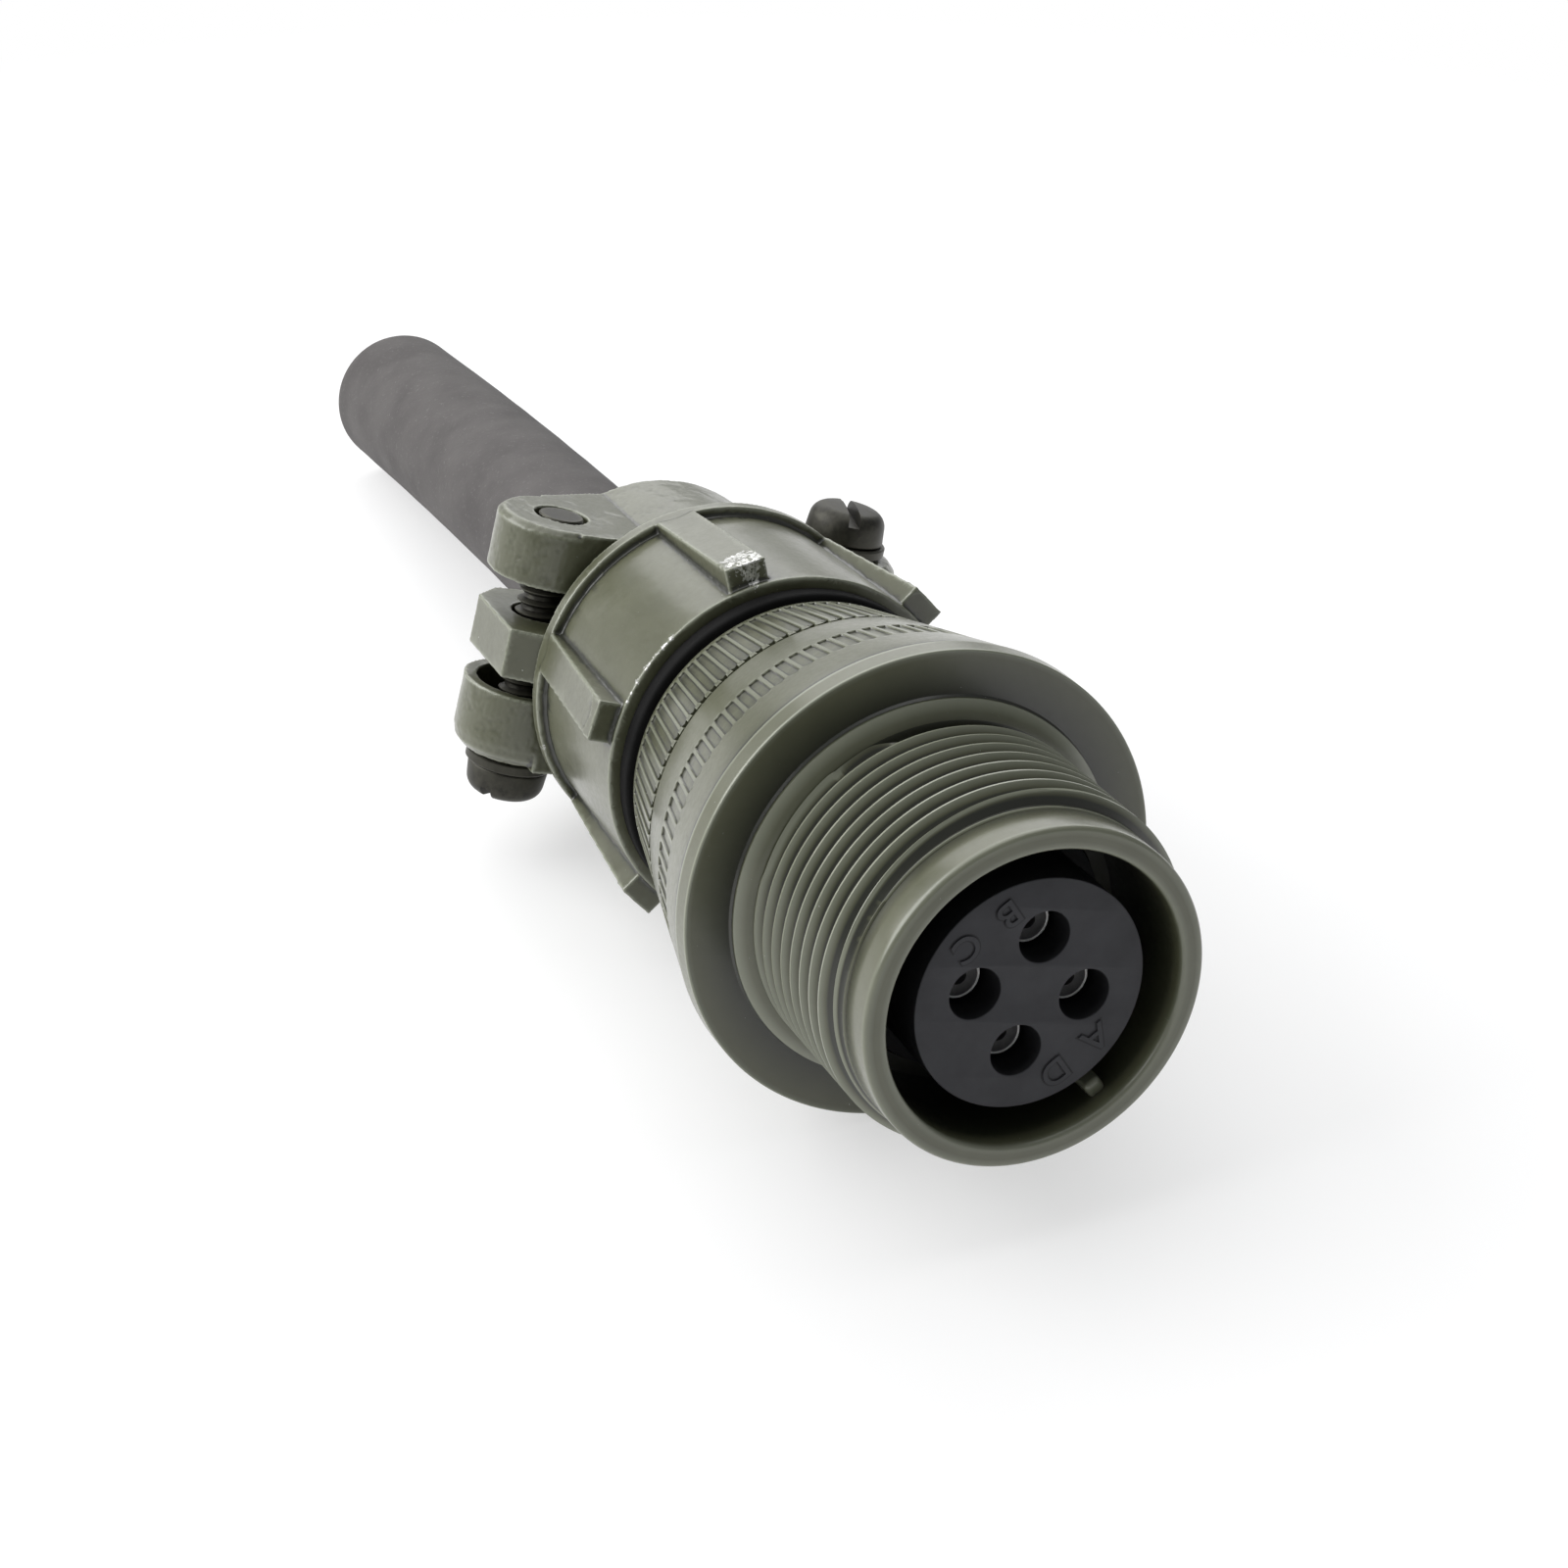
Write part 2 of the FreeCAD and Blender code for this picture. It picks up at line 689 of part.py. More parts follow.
def make_cable_sleeve():
    """Rubber sleeve held between the saddles, whose far end sags to the floor."""
    body = new_body("cable_sleeve")
    bend = "sleeve_bend_radius"
    path = new_sketch(body, "path", "XZ_Plane")
    turn = value("sleeve_turn")
    drop_way = value("sleeve_side")
    start = Vector(value("sleeve_front"), 0, 0)
    bend_start = Vector(value("sleeve_bend_start"), 0, 0)
    middle = bend_start - Vector(0, drop_way * value(bend), 0)
    circle = Part.Circle(middle, Vector(0, 0, 1), value(bend))
    top = drop_way * math.pi / 2
    arc = Part.ArcOfCircle(circle, min(top, top - turn), max(top, top - turn))
    # the arc runs counterclockwise, so a drooping sleeve meets its second end first
    near_end, far_end = (2, 1) if drop_way > 0 else (1, 2)
    bend_end = arc.StartPoint if drop_way > 0 else arc.EndPoint
    end = bend_end + Vector(math.cos(turn), -math.sin(turn), 0) * value("sleeve_end_length")
    path.addGeometry([Part.LineSegment(start, bend_start), arc, Part.LineSegment(bend_end, end)])
    path.addConstraint([
        Sketcher.Constraint("Coincident", 0, 2, 1, near_end),
        Sketcher.Constraint("Coincident", 1, far_end, 2, 1),
    ])
    bind(path, "DistanceX", 0, 1, "sleeve_front")
    bind(path, "DistanceY", 0, 1, "0")
    bind(path, "DistanceX", 0, 2, "sleeve_bend_start")
    bind(path, "DistanceY", 0, 2, "0")
    bind(path, "DistanceX", 1, 3, "sleeve_bend_start")
    bind(path, "Radius", 1, bend)
    turned = "(180 / pi * sleeve_bend_length / sleeve_bend_radius)"
    bind(path, "DistanceX", 1, far_end, "sleeve_bend_start + %s * sin%s" % (bend, turned))
    reach = "sleeve_bend_start + %s * sin%s + sleeve_end_length * cos%s" % (bend, turned, turned)
    drop = "%s * (1 - cos%s) + sleeve_end_length * sin%s" % (bend, turned, turned)
    bind(path, "DistanceX", 2, 2, reach)
    bind(path, "DistanceY", 2, 2, "-sleeve_side * (%s)" % drop)
    ring = new_sketch(body, "tube_section", "YZ_Plane", offset="sleeve_front")
    draw_circle(ring, "0", "0", "sleeve_radius")
    draw_circle(ring, "0", "0", "sleeve_bore")
    doc.recompute()
    tube = body.newObject("PartDesign::AdditivePipe", "tube")
    tube.Profile = ring
    tube.Spine = (path, ["Edge1", "Edge2", "Edge3"])
    doc.recompute()
    collar = new_sketch(body, "collar_outline", "YZ_Plane", offset="clamp_web_front")
    draw_circle(collar, "0", "0", "sleeve_collar_radius")
    draw_circle(collar, "0", "0", "sleeve_radius - insert_gap")
    extrude(body, collar, "PartDesign::Pad", "collar", "sleeve_collar_length", reversed_way=True)
    seat(body, Placement(Vector(), Rotation(Vector(1, 0, 0), -value("rest_roll"))))


def rest_tilt():
    """Angle at which both the flange's back edge and the lower right ear meet the floor."""
    roll = math.radians(value("rest_roll"))
    rim = value("ear_radius - ear_bevel")
    ear_drop = value("screw_offset") * math.sin(roll) + value("ear_top") * math.cos(roll)
    tilt = 0.0
    for _ in range(20):
        reach = rim * math.hypot(math.tan(tilt), math.sin(roll))
        tilt = math.atan2(value("flange_radius") - ear_drop - reach,
                          value("screw_station - flange_back"))
    return tilt


def sleeve_turn(tilt, height):
    """Angle of the long bend that brings the end of the sleeve down, or up, to the floor."""
    bend = value("sleeve_bend_length")
    bend_height = height - value("sleeve_bend_start") * math.sin(tilt)

    def clearance(turn):
        """Room under the sleeve's end after a bend by an angle."""
        slope = tilt + turn
        drop = bend * (math.cos(tilt) - math.cos(slope)) / turn
        drop += value("sleeve_end_length") * math.sin(slope)
        return bend_height - drop - value("sleeve_radius") * math.cos(slope) - value("floor_gap")

    low, high = SLEEVE_TURNS
    for _ in range(60):
        turn = (low + high) / 2
        if clearance(turn) > 0:
            low = turn
        else:
            high = turn
    return turn


for size_name, size_value in list(SIZES.items()) + list(STATIONS.items()):
    add_cell(size_name, size_value)
doc.recompute()

TILT = rest_tilt()
HEIGHT = value("flange_back") * math.sin(TILT) + value("flange_radius") * math.cos(TILT)
add_cell("sleeve_turn", sleeve_turn(TILT, HEIGHT))
add_cell("sleeve_side", "sleeve_turn / abs(sleeve_turn)")
add_cell("sleeve_bend_radius", "sleeve_bend_length / abs(sleeve_turn)")
doc.recompute()
rest = Placement(Vector(0, 0, HEIGHT), Rotation(Vector(0, 1, 0), math.degrees(TILT)))
rest = rest * Placement(Vector(), Rotation(Vector(1, 0, 0), value("rest_roll")))

make_front_shell()
make_front_insert()
make_rear_insert()
make_retaining_ring()
for contact_label, contact_turn in (("contact_a", 45), ("contact_b", 135),
                                    ("contact_c", -135), ("contact_d", -45)):
    make_contact(contact_label, contact_turn)
make_endbell()
make_sealing_ring()
make_clamp_body()
for side_label, saddle_label, side_turn in (("left", "upper", 0), ("right", "lower", 180)):
    make_saddle(saddle_label + "_saddle", side_turn)
    make_screw(side_label + "_screw", side_turn)
    make_lock_washer(side_label + "_lock_washer", side_turn)
make_cable_sleeve()
doc.recompute()

bounds = FreeCAD.BoundBox()
for piece in pieces:
    bounds.add(piece.Shape.optimalBoundingBox(False, False))
centring = Placement(Vector(-bounds.Center.x, -bounds.Center.y, -bounds.ZMin), Rotation())
for piece in pieces:
    piece.Placement = centring * piece.Placement
doc.recompute()

for item in doc.Objects:
    assert "Invalid" not in item.State and "Error" not in item.State, item.Label
for piece in pieces:
    assert not piece.Shape.isNull() and piece.Shape.isValid(), piece.Label
    assert len(piece.Shape.Solids) == 1, piece.Label

os.makedirs("parts", exist_ok=True)
for piece in pieces:
    piece.Shape.exportStep("parts/%s.step" % piece.Label)
lip_centre = (centring * rest).Base
print("tilt %.4f degrees, sleeve bend radius %.0f mm, %d pieces"
      % (math.degrees(TILT), value("sleeve_bend_radius"), len(pieces)))
print("centre of the front lip at %.4f, %.4f, %.4f mm" % tuple(lip_centre))
print("the rest pose was lifted by %.4f mm" % -bounds.ZMin)
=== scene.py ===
"""Looks of the circular plug: painted shells, knurl, threads, insert, clamp and rubber sleeve.

Pieces are modelled in the plug's own millimetres, with X from the front lip towards the
cable, Z along the clamp screws and Y to the left, and are then carried into the row frame.
"""

import json
import math

import bmesh
import bpy
import numpy as np
from mathutils import Matrix, Vector, noise


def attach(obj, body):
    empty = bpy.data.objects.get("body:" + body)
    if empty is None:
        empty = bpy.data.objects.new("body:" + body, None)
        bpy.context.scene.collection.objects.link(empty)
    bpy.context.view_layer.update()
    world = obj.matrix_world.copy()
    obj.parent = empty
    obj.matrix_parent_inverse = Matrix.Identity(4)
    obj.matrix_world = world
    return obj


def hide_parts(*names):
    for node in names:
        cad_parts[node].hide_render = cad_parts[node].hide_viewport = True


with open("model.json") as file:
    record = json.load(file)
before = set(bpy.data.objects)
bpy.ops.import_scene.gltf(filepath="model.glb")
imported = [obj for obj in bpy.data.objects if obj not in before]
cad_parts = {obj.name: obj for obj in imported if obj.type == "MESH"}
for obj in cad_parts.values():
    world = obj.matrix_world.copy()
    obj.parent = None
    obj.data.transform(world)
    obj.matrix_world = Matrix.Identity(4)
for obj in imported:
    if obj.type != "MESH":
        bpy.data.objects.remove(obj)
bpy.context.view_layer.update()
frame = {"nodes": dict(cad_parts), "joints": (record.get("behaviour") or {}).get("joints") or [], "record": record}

TAU = 2 * math.pi
MM = 0.001

# Sizes of the plug, in millimetres. Stations run back from the centre of the front lip, and
# angles, in degrees, from the clamp's up to its left.

# Front shell
LIP_RADIUS = 10.35
RELIEF_RADIUS = 10.2
THREAD_START = 2.85
THREAD_MIDDLE = 8.85
THREAD_END = 13.45
THREAD_RADIUS = 11.11
THREAD_ROOT = 10.33
THREAD_PITCH = 1.27
NECK_RADIUS = 12.05
FLANGE_FRONT = 14.5
FLANGE_BACK = 16.0
FLANGE_RADIUS = 14.85
SHELL_BACK = 25.9
SHELL_BORE = 12.0
BORE_FRONT = 15.0
CHAMBER_FRONT = 18.2
CHAMBER_RADIUS = 9.0
MOUTH_RADIUS = 9.0
MOUTH_DEPTH = 8.2
LEDGE_RADIUS = 8.1
LEDGE_DEPTH = 1.2
INSERT_SEAT = 9.6
KEY_ANGLE = -133.5
KEY_WIDTH = 1.1
KEY_FRONT = 1.3
KEY_RADIUS = 8.05

# Taper with two rows of knurl windows, the front one on the shell and the rear one on the endbell
CONE_RADIUS = 14.81
CONE_SLOPE = 0.2256
TAPER_FRONT = 17.0
KNURL_FRONT = 17.6
KNURL_TEETH = 88
KNURL_DEPTH = 0.12
FRONT_WINDOWS = (19.45, 22.4)
REAR_WINDOWS = (SHELL_BACK + 0.5, 32.2)

# Joint of the front shell and the endbell, and the endbell's rear neck with its sealing ring
JOINT_GAP = 0.08
SPIGOT_FRONT = 21.6
SPIGOT_RADIUS = 10.0
SPIGOT_BORE = 8.7
SPIGOT_SOCKET = 10.4
ENDBELL_BACK = 32.7
REAR_NECK_BACK = 41.5
REAR_NECK_RADIUS = 9.5
REAR_NECK_BORE = 7.7
SEAL_RADIUS = 11.3
SEAL_LIP = 10.35
SEAL_BORE = 9.65

# Insert and contacts
INSERT_RADIUS = 7.0
INSERT_FACE = 0.9
INSERT_DEPTH = 3.6
INSERT_EDGE = 0.08
INSERT_BACK = 11.0
INSERT_CORE = 5.6
CONTACT_CIRCLE = 3.45
CONTACT_HOLE = 1.54
CONTACT_ANGLES = {"a": KEY_ANGLE + 45, "b": KEY_ANGLE + 135, "c": KEY_ANGLE - 135,
                  "d": KEY_ANGLE - 45}
CONTACT_FACE = 3.0
CONTACT_MOUTH = 0.5
CONTACT_RADIUS = 1.29
CONTACT_BACK = 24.9
PIN_BORE = 0.8
PIN_DEPTH = 9.9
COLLAR_FRONT = 11.0
COLLAR_BACK = 13.1
COLLAR_RADIUS = 1.6
SOLDER_CUP_FRONT = 21.0
SOLDER_CUP_RADIUS = 1.19
SOLDER_CUP_BORE = 0.87
LETTER_CIRCLE = 5.5
LETTER_SIZE = 2.3
LETTER_ANGLES = {"A": -117.0, "B": 30.0, "C": 61.0, "D": -148.0}

# Clamp, with its two stacks of cup, washer, screw and ear
CLAMP_FRONT = 34.5
RIM_FRONT = 47.2
CAST_GRAIN = 0.11
CAST_POLYGONS = 95000
CLAMP_TURNED = ((11.95, 11.55), (12.2, 12.2), (13.4, 13.4))
ARCH_TURNED = ((10.06, 10.06),)
SCREW_STATION = 53.2
SCREW_OFFSET = 10.45
EAR_TOP = 8.6
CUP_TOP = 8.2
HEAD_BACK = -CUP_TOP - 0.9
HEAD_FRONT = HEAD_BACK - 2.3
HEAD_RADIUS = 2.75
SLOT_WIDTH = 0.8
SLOT_DEPTH = 0.9
SCREW_PITCH = 0.794
SCREW_RADIUS = 1.74
SCREW_ROOT = 1.36

# Rubber sleeve
SLEEVE_RADIUS = 5.56
SLEEVE_BORE = 3.96
SLEEVE_FRONT = 40.0
SLEEVE_BEND_START = 62.0
SLEEVE_BEND = 44.0
SLEEVE_END = 12.0


def find(items, name):
    """The entry of a list in the record that has this name."""
    return [item for item in items if item["name"] == name][0]


def plug_matrix():
    """Matrix from the plug's own millimetres to the row frame, in metres."""
    thread = find(frame["record"]["mounts"], "coupling_thread")
    back = -Vector(thread["axis"]).normalized()
    up = Vector(find(frame["joints"], "upper_saddle_slide")["axis"]).normalized()
    left = up.cross(back)
    lip = Vector(thread["pos_m"]) - back * THREAD_MIDDLE * MM
    turn = Matrix((back, left, up)).transposed().to_4x4()
    return Matrix.Translation(lip) @ turn @ Matrix.Scale(MM, 4)


PLUG = plug_matrix()


def around(x, radius, angle):
    """Point at a station, a radius and an angle in degrees from the clamp's up to its left."""
    turn = math.radians(angle)
    return Vector((x, radius * math.sin(turn), radius * math.cos(turn)))


# Mesh helpers

def new_object(name, mesh):
    """Put a mesh into the scene as an object."""
    thing = bpy.data.objects.new(name, mesh)
    bpy.context.scene.collection.objects.link(thing)
    return thing


def finish_mesh(name, bm, place, sharp=35.0):
    """Turn a bmesh in millimetres into an object in the row frame, smooth between sharp edges."""
    bmesh.ops.remove_doubles(bm, verts=bm.verts, dist=1e-4)
    bmesh.ops.dissolve_degenerate(bm, edges=bm.edges, dist=1e-5)
    bmesh.ops.recalc_face_normals(bm, faces=bm.faces)
    bm.transform(place)
    mesh = bpy.data.meshes.new(name)
    bm.to_mesh(mesh)
    bm.free()
    note_bends(mesh)
    mesh.shade_smooth()
    mesh.set_sharp_from_angle(angle=math.radians(sharp))
    return new_object(name, mesh)


def note_bends(mesh):
    """Store how strongly the surface bends out (positive) or in at each vertex, per millimetre."""
    count = len(mesh.vertices)
    places = np.empty(count * 3, np.float32)
    mesh.vertices.foreach_get("co", places)
    places = places.reshape(-1, 3).astype(float) / MM
    ways = np.empty(count * 3, np.float32)
    mesh.vertex_normals.foreach_get("vector", ways)
    ways = ways.reshape(-1, 3)
    pairs = np.empty(len(mesh.edges) * 2, np.int32)
    mesh.edges.foreach_get("vertices", pairs)
    first, second = pairs.reshape(-1, 2).T
    run = places[second] - places[first]
    length = np.maximum((run ** 2).sum(axis=1), 1e-6)
    bend = ((ways[second] - ways[first]) * run).sum(axis=1) / length
    out, inward = np.zeros(count), np.zeros(count)
    for ends in (first, second):
        np.maximum.at(out, ends, bend)
        np.minimum.at(inward, ends, bend)
    layer = mesh.attributes.new("bend", "FLOAT", "POINT")
    layer.data.foreach_set("value", (out + inward).astype(np.float32))


def plug_places(mesh):
    """Places of a mesh's vertices in the plug's own millimetres."""
    places = np.empty(len(mesh.vertices) * 3, np.float32)
    mesh.vertices.foreach_get("co", places)
    back = np.array(PLUG.inverted())
    return places.reshape(-1, 3) @ back[:3, :3].T + back[:3, 3]


def note_painted_shade(mesh, station, fade, radius):
    """Mark, for painted shade, the vertices deeper than a station, fading in from it, and nearer than a radius."""
    places = plug_places(mesh)
    deep = np.clip((places[:, 0] - station) / fade, 0.0, 1.0)
    near = np.clip((radius - np.hypot(places[:, 1], places[:, 2])) / 0.1, 0.0, 1.0)
    layer = mesh.attributes.new("inside", "FLOAT", "POINT")
    layer.data.foreach_set("value", (deep * near).astype(np.float32))


def weigh_bends(mesh):
    """Darken the thread's roots with painted shade by counting them as bending in, and weaken the knurl's bends,
    so that its painted shade and lighter edges are fainter.
    """
    places = plug_places(mesh)
    stations = places[:, 0]
    reach = np.hypot(places[:, 1], places[:, 2])
    bends = np.empty(len(mesh.vertices), np.float32)
    layer = mesh.attributes["bend"].data
    layer.foreach_get("value", bends)
    deep = np.clip((THREAD_RADIUS - 0.1 - reach) / 0.5, 0.0, 1.0)
    threaded = (stations > THREAD_START) & (stations < THREAD_END)
    outer = reach > MOUTH_RADIUS + 0.8
    bends -= (2.0 * deep * threaded * outer).astype(np.float32)
    bends[stations > TAPER_FRONT] *= 0.35
    layer.foreach_set("value", bends)


def true_rounds(mesh, turned):
    """Bring the flats of turned surfaces back onto their exact cylinders and cones.

    turned lists, for each, the radius at the clamp's front and at the front of its rim.
    """
    places = plug_places(mesh)
    ways = np.empty(len(mesh.vertices) * 3, np.float32)
    mesh.vertex_normals.foreach_get("vector", ways)
    turn = np.array(PLUG)[:3, :3] / MM
    ways = ways.reshape(-1, 3) @ turn
    reach = np.hypot(places[:, 1], places[:, 2])
    outward = (ways[:, 1] * places[:, 1] + ways[:, 2] * places[:, 2]) / np.maximum(reach, 0.01)
    level = np.clip((0.2 - np.abs(ways[:, 0])) / 0.15, 0.0, 1.0)
    for front, back in turned:
        share = (places[:, 0] - CLAMP_FRONT) / (RIM_FRONT - CLAMP_FRONT)
        radius = front + (back - front) * share
        near = (outward > 0.95) & (reach > radius - 0.09) & (reach < radius + 0.03)
        if front != back:
            near &= (share > 0) & (share < 1)
        pull = 1 + level[near] * (radius[near] / reach[near] - 1)
        places[near, 1:] *= pull[:, None]
    matrix = np.array(PLUG)
    places = places @ matrix[:3, :3].T + matrix[:3, 3]
    mesh.vertices.foreach_set("co", places.astype(np.float32).ravel())
    mesh.update()


def add_lathe(bm, profile, angles):
    """Sweep the rings of a closed profile round the X axis.

    Each ring gives a station and a radius for an angle. angles lists where the columns stand,
    in radians, from 0 to just under a full turn.
    """
    grid = []
    for place in profile:
        row = []
        for phi in angles:
            x, radius = place(phi)
            row.append(bm.verts.new((x, radius * math.sin(phi), radius * math.cos(phi))))
        # the last column stands where the first one does, a whole turn on
        x, radius = place(angles[0] + TAU)
        row.append(bm.verts.new((x, radius * math.sin(angles[0]), radius * math.cos(angles[0]))))
        grid.append(row)
    for upper, lower in zip(grid, grid[1:] + grid[:1]):
        for column in range(len(angles)):
            bm.faces.new((upper[column], upper[column + 1], lower[column + 1], lower[column]))


def even(columns):
    """Angles of evenly spaced columns."""
    return [TAU * column / columns for column in range(columns)]


def ring(x, radius):
    """Plain ring of a lathe."""
    return lambda phi: (x, radius)


def rings(*points):
    """Plain rings through several points."""
    return [ring(x, radius) for x, radius in points]


def corner(x, radius, size, start, end, steps=5):
    """Rings of a rounded corner: an arc of a circle in the profile, angles in degrees."""
    found = []
    for step in range(steps + 1):
        turn = math.radians(start + (end - start) * step / steps)
        found.append(ring(x + size * math.cos(turn), radius + size * math.sin(turn)))
    return found


def cone(x):
    """Radius of the taper that the front shell and the endbell share."""
    return CONE_RADIUS - CONE_SLOPE * (x - FLANGE_BACK)


def smooth_step(low, high, value):
    """Rise smoothly from 0 at low to 1 at high."""
    share = min(1.0, max(0.0, (value - low) / (high - low)))
    return share * share * (3 - 2 * share)


# Where a turn of thread stands, as a share of the pitch, and how high, from root to crest
THREAD_FORM = ((0.0, 0.0), (0.12, 0.0), (0.18, 0.08), (0.41, 0.90), (0.45, 1.0), (0.55, 1.0),
               (0.59, 0.90), (0.82, 0.08))


def thread_rings(start, end, root, crest, pitch, lead, runout):
    """Rings that follow a right-handed thread, and stop at its two ends.

    It rises to its full height over lead at the start, and falls again over runout at the end.
    """
    found = []
    turns = math.ceil((end - start) / pitch) + 2

    def line(turn, share, height):
        def place(phi):
            x = start + pitch * (turn - 1 + share - phi / TAU)
            held = min(end, max(start, x))
            fade = smooth_step(0.0, lead, held - start) * smooth_step(0.0, runout, end - held)
            return held, root + (crest - root) * height * fade
        return place

    for turn in range(turns):
        for share, height in THREAD_FORM:
            found.append(line(turn, share, height))
    return found


# One knurl window and its rib: places as a share of a tooth, and how deep the skin is there
WINDOW = ((0.0, 0.0), (0.06, 0.0), (0.16, 0.0), (0.22, 0.0), (0.26, 0.6), (0.30, 1.0), (0.34, 1.0),
          (0.38, 1.0), (0.62, 1.0), (0.86, 1.0), (0.90, 1.0), (0.94, 1.0), (0.97, 0.6))
WINDOW_MIDDLE = 0.615
WINDOW_REACH = 0.37


def knurl_angles():
    """Angles of the columns that the knurl needs."""
    return [TAU * (tooth + share) / KNURL_TEETH
            for tooth in range(KNURL_TEETH) for share, _ in WINDOW]


def knurl_ring(x, depth, narrow=0.0):
    """Ring of the taper with the windows sunk to a depth, and narrower by a share of a tooth."""
    def place(phi):
        share = (phi / TAU * KNURL_TEETH + 1e-6) % 1.0
        sunk = min(WINDOW, key=lambda item: abs(item[0] - share))[1]
        if abs(share - WINDOW_MIDDLE) > WINDOW_REACH - narrow:
            sunk = 0.0
        return x, cone(x) - depth * sunk
    return place


def knurl_rows(start, end, depth):
    """Rings of one row of windows with rounded ends."""
    return [knurl_ring(start - 0.05, 0.0), knurl_ring(start, 0.6 * depth, 0.14),
            knurl_ring(start + 0.06, depth, 0.06), knurl_ring(start + 0.2, depth),
            knurl_ring((start + end) / 2, depth), knurl_ring(end - 0.2, depth),
            knurl_ring(end - 0.06, depth, 0.06), knurl_ring(end, 0.6 * depth, 0.14),
            knurl_ring(end + 0.05, 0.0)]


# Painted shells

def make_front_shell():
    """Front shell, with its lip, coupling thread, flange, knurl and polarising key."""
    profile = rings((KNURL_FRONT, SHELL_BORE), (BORE_FRONT + 0.6, SHELL_BORE),
                    (BORE_FRONT, INSERT_SEAT), (MOUTH_DEPTH + LEDGE_DEPTH, INSERT_SEAT),
                    (MOUTH_DEPTH + LEDGE_DEPTH, LEDGE_RADIUS), (MOUTH_DEPTH, LEDGE_RADIUS),
                    (MOUTH_DEPTH, MOUTH_RADIUS), (5.0, MOUTH_RADIUS), (1.2, MOUTH_RADIUS),
                    (0.55, MOUTH_RADIUS))
    profile += corner(0.28, MOUTH_RADIUS + 0.28, 0.28, 270, 180)
    profile += rings((0.0, MOUTH_RADIUS + 0.5), (0.04, MOUTH_RADIUS + 0.8))
    profile += corner(0.34, LIP_RADIUS - 0.3, 0.3, 170, 90)
    profile += rings((0.5, LIP_RADIUS), (1.35, LIP_RADIUS), (1.6, LIP_RADIUS - 0.05),
                     (2.55, LIP_RADIUS - 0.05), (2.7, RELIEF_RADIUS), (2.8, THREAD_ROOT))
    profile += thread_rings(THREAD_START, THREAD_END, THREAD_ROOT, THREAD_RADIUS, THREAD_PITCH,
                            0.7, 0.05)
    profile += rings((THREAD_END + 0.01, THREAD_ROOT), (THREAD_END + 0.02, THREAD_RADIUS - 0.1),
                     (THREAD_END + 0.25, THREAD_RADIUS + 0.3),
                     (THREAD_END + 0.6, NECK_RADIUS - 0.06), (THREAD_END + 0.66, NECK_RADIUS),
                     (FLANGE_FRONT - 0.15, NECK_RADIUS), (FLANGE_FRONT, NECK_RADIUS + 0.12),
                     (FLANGE_FRONT, NECK_RADIUS + 0.3), (FLANGE_FRONT, FLANGE_RADIUS - 0.4),
                     (FLANGE_FRONT, FLANGE_RADIUS - 0.14))
    profile += corner(FLANGE_FRONT + 0.1, FLANGE_RADIUS - 0.1, 0.1, 180, 90, 4)
    profile += rings((FLANGE_FRONT + 0.25, FLANGE_RADIUS), (FLANGE_BACK - 0.3, FLANGE_RADIUS))
    profile += corner(FLANGE_BACK - 0.1, FLANGE_RADIUS - 0.1, 0.1, 90, 30, 3)
    profile += rings((FLANGE_BACK + 0.3, cone(FLANGE_BACK + 0.3)),
                     (KNURL_FRONT, cone(KNURL_FRONT)))
    bm = bmesh.new()
    add_lathe(bm, profile, even(256))
    knurled = rings((KNURL_FRONT, SHELL_BORE), (KNURL_FRONT, cone(KNURL_FRONT)),
                    (19.2, cone(19.2)))
    knurled += knurl_rows(*FRONT_WINDOWS, KNURL_DEPTH)
    knurled += rings((22.7, cone(22.7)), (SHELL_BACK - 0.3, cone(SHELL_BACK - 0.3)))
    knurled += corner(SHELL_BACK - 0.14, cone(SHELL_BACK) - 0.12, 0.12, 78, 0, 4)
    knurled += rings((SHELL_BACK - 0.02, SPIGOT_SOCKET), (SPIGOT_FRONT, SPIGOT_SOCKET),
                     (SPIGOT_FRONT, CHAMBER_RADIUS), (CHAMBER_FRONT, CHAMBER_RADIUS))
    add_lathe(bm, knurled, knurl_angles())
    shell = finish_mesh("front_shell_painted", bm, PLUG)
    # the mouth's bore is marked for painted shade, since little light reaches it
    note_painted_shade(shell.data, 0.6, 0.9, MOUTH_RADIUS + 0.1)
    weigh_bends(shell.data)
    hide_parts("front_shell")
    dress(shell, "root", PAINT)
    make_key()


def make_key():
    """Polarising key: a rounded rib on the wall of the mouth."""
    bm = bmesh.new()
    bmesh.ops.create_cube(bm, size=1.0)
    length = MOUTH_DEPTH - KEY_FRONT
    height = MOUTH_RADIUS - KEY_RADIUS + 0.15
    bm.transform(Matrix.Diagonal((length, KEY_WIDTH, height, 1.0)))
    bmesh.ops.bevel(bm, geom=bm.edges[:], offset=0.3, segments=4, profile=0.5, affect="EDGES")
    turn = Matrix.Rotation(-math.radians(KEY_ANGLE), 4, "X")
    middle = Vector((KEY_FRONT + length / 2, 0, KEY_RADIUS + height / 2))
    bm.transform(turn @ Matrix.Translation(middle))
    key = finish_mesh("polarising_key", bm, PLUG)
    dress(key, "root", PAINT)


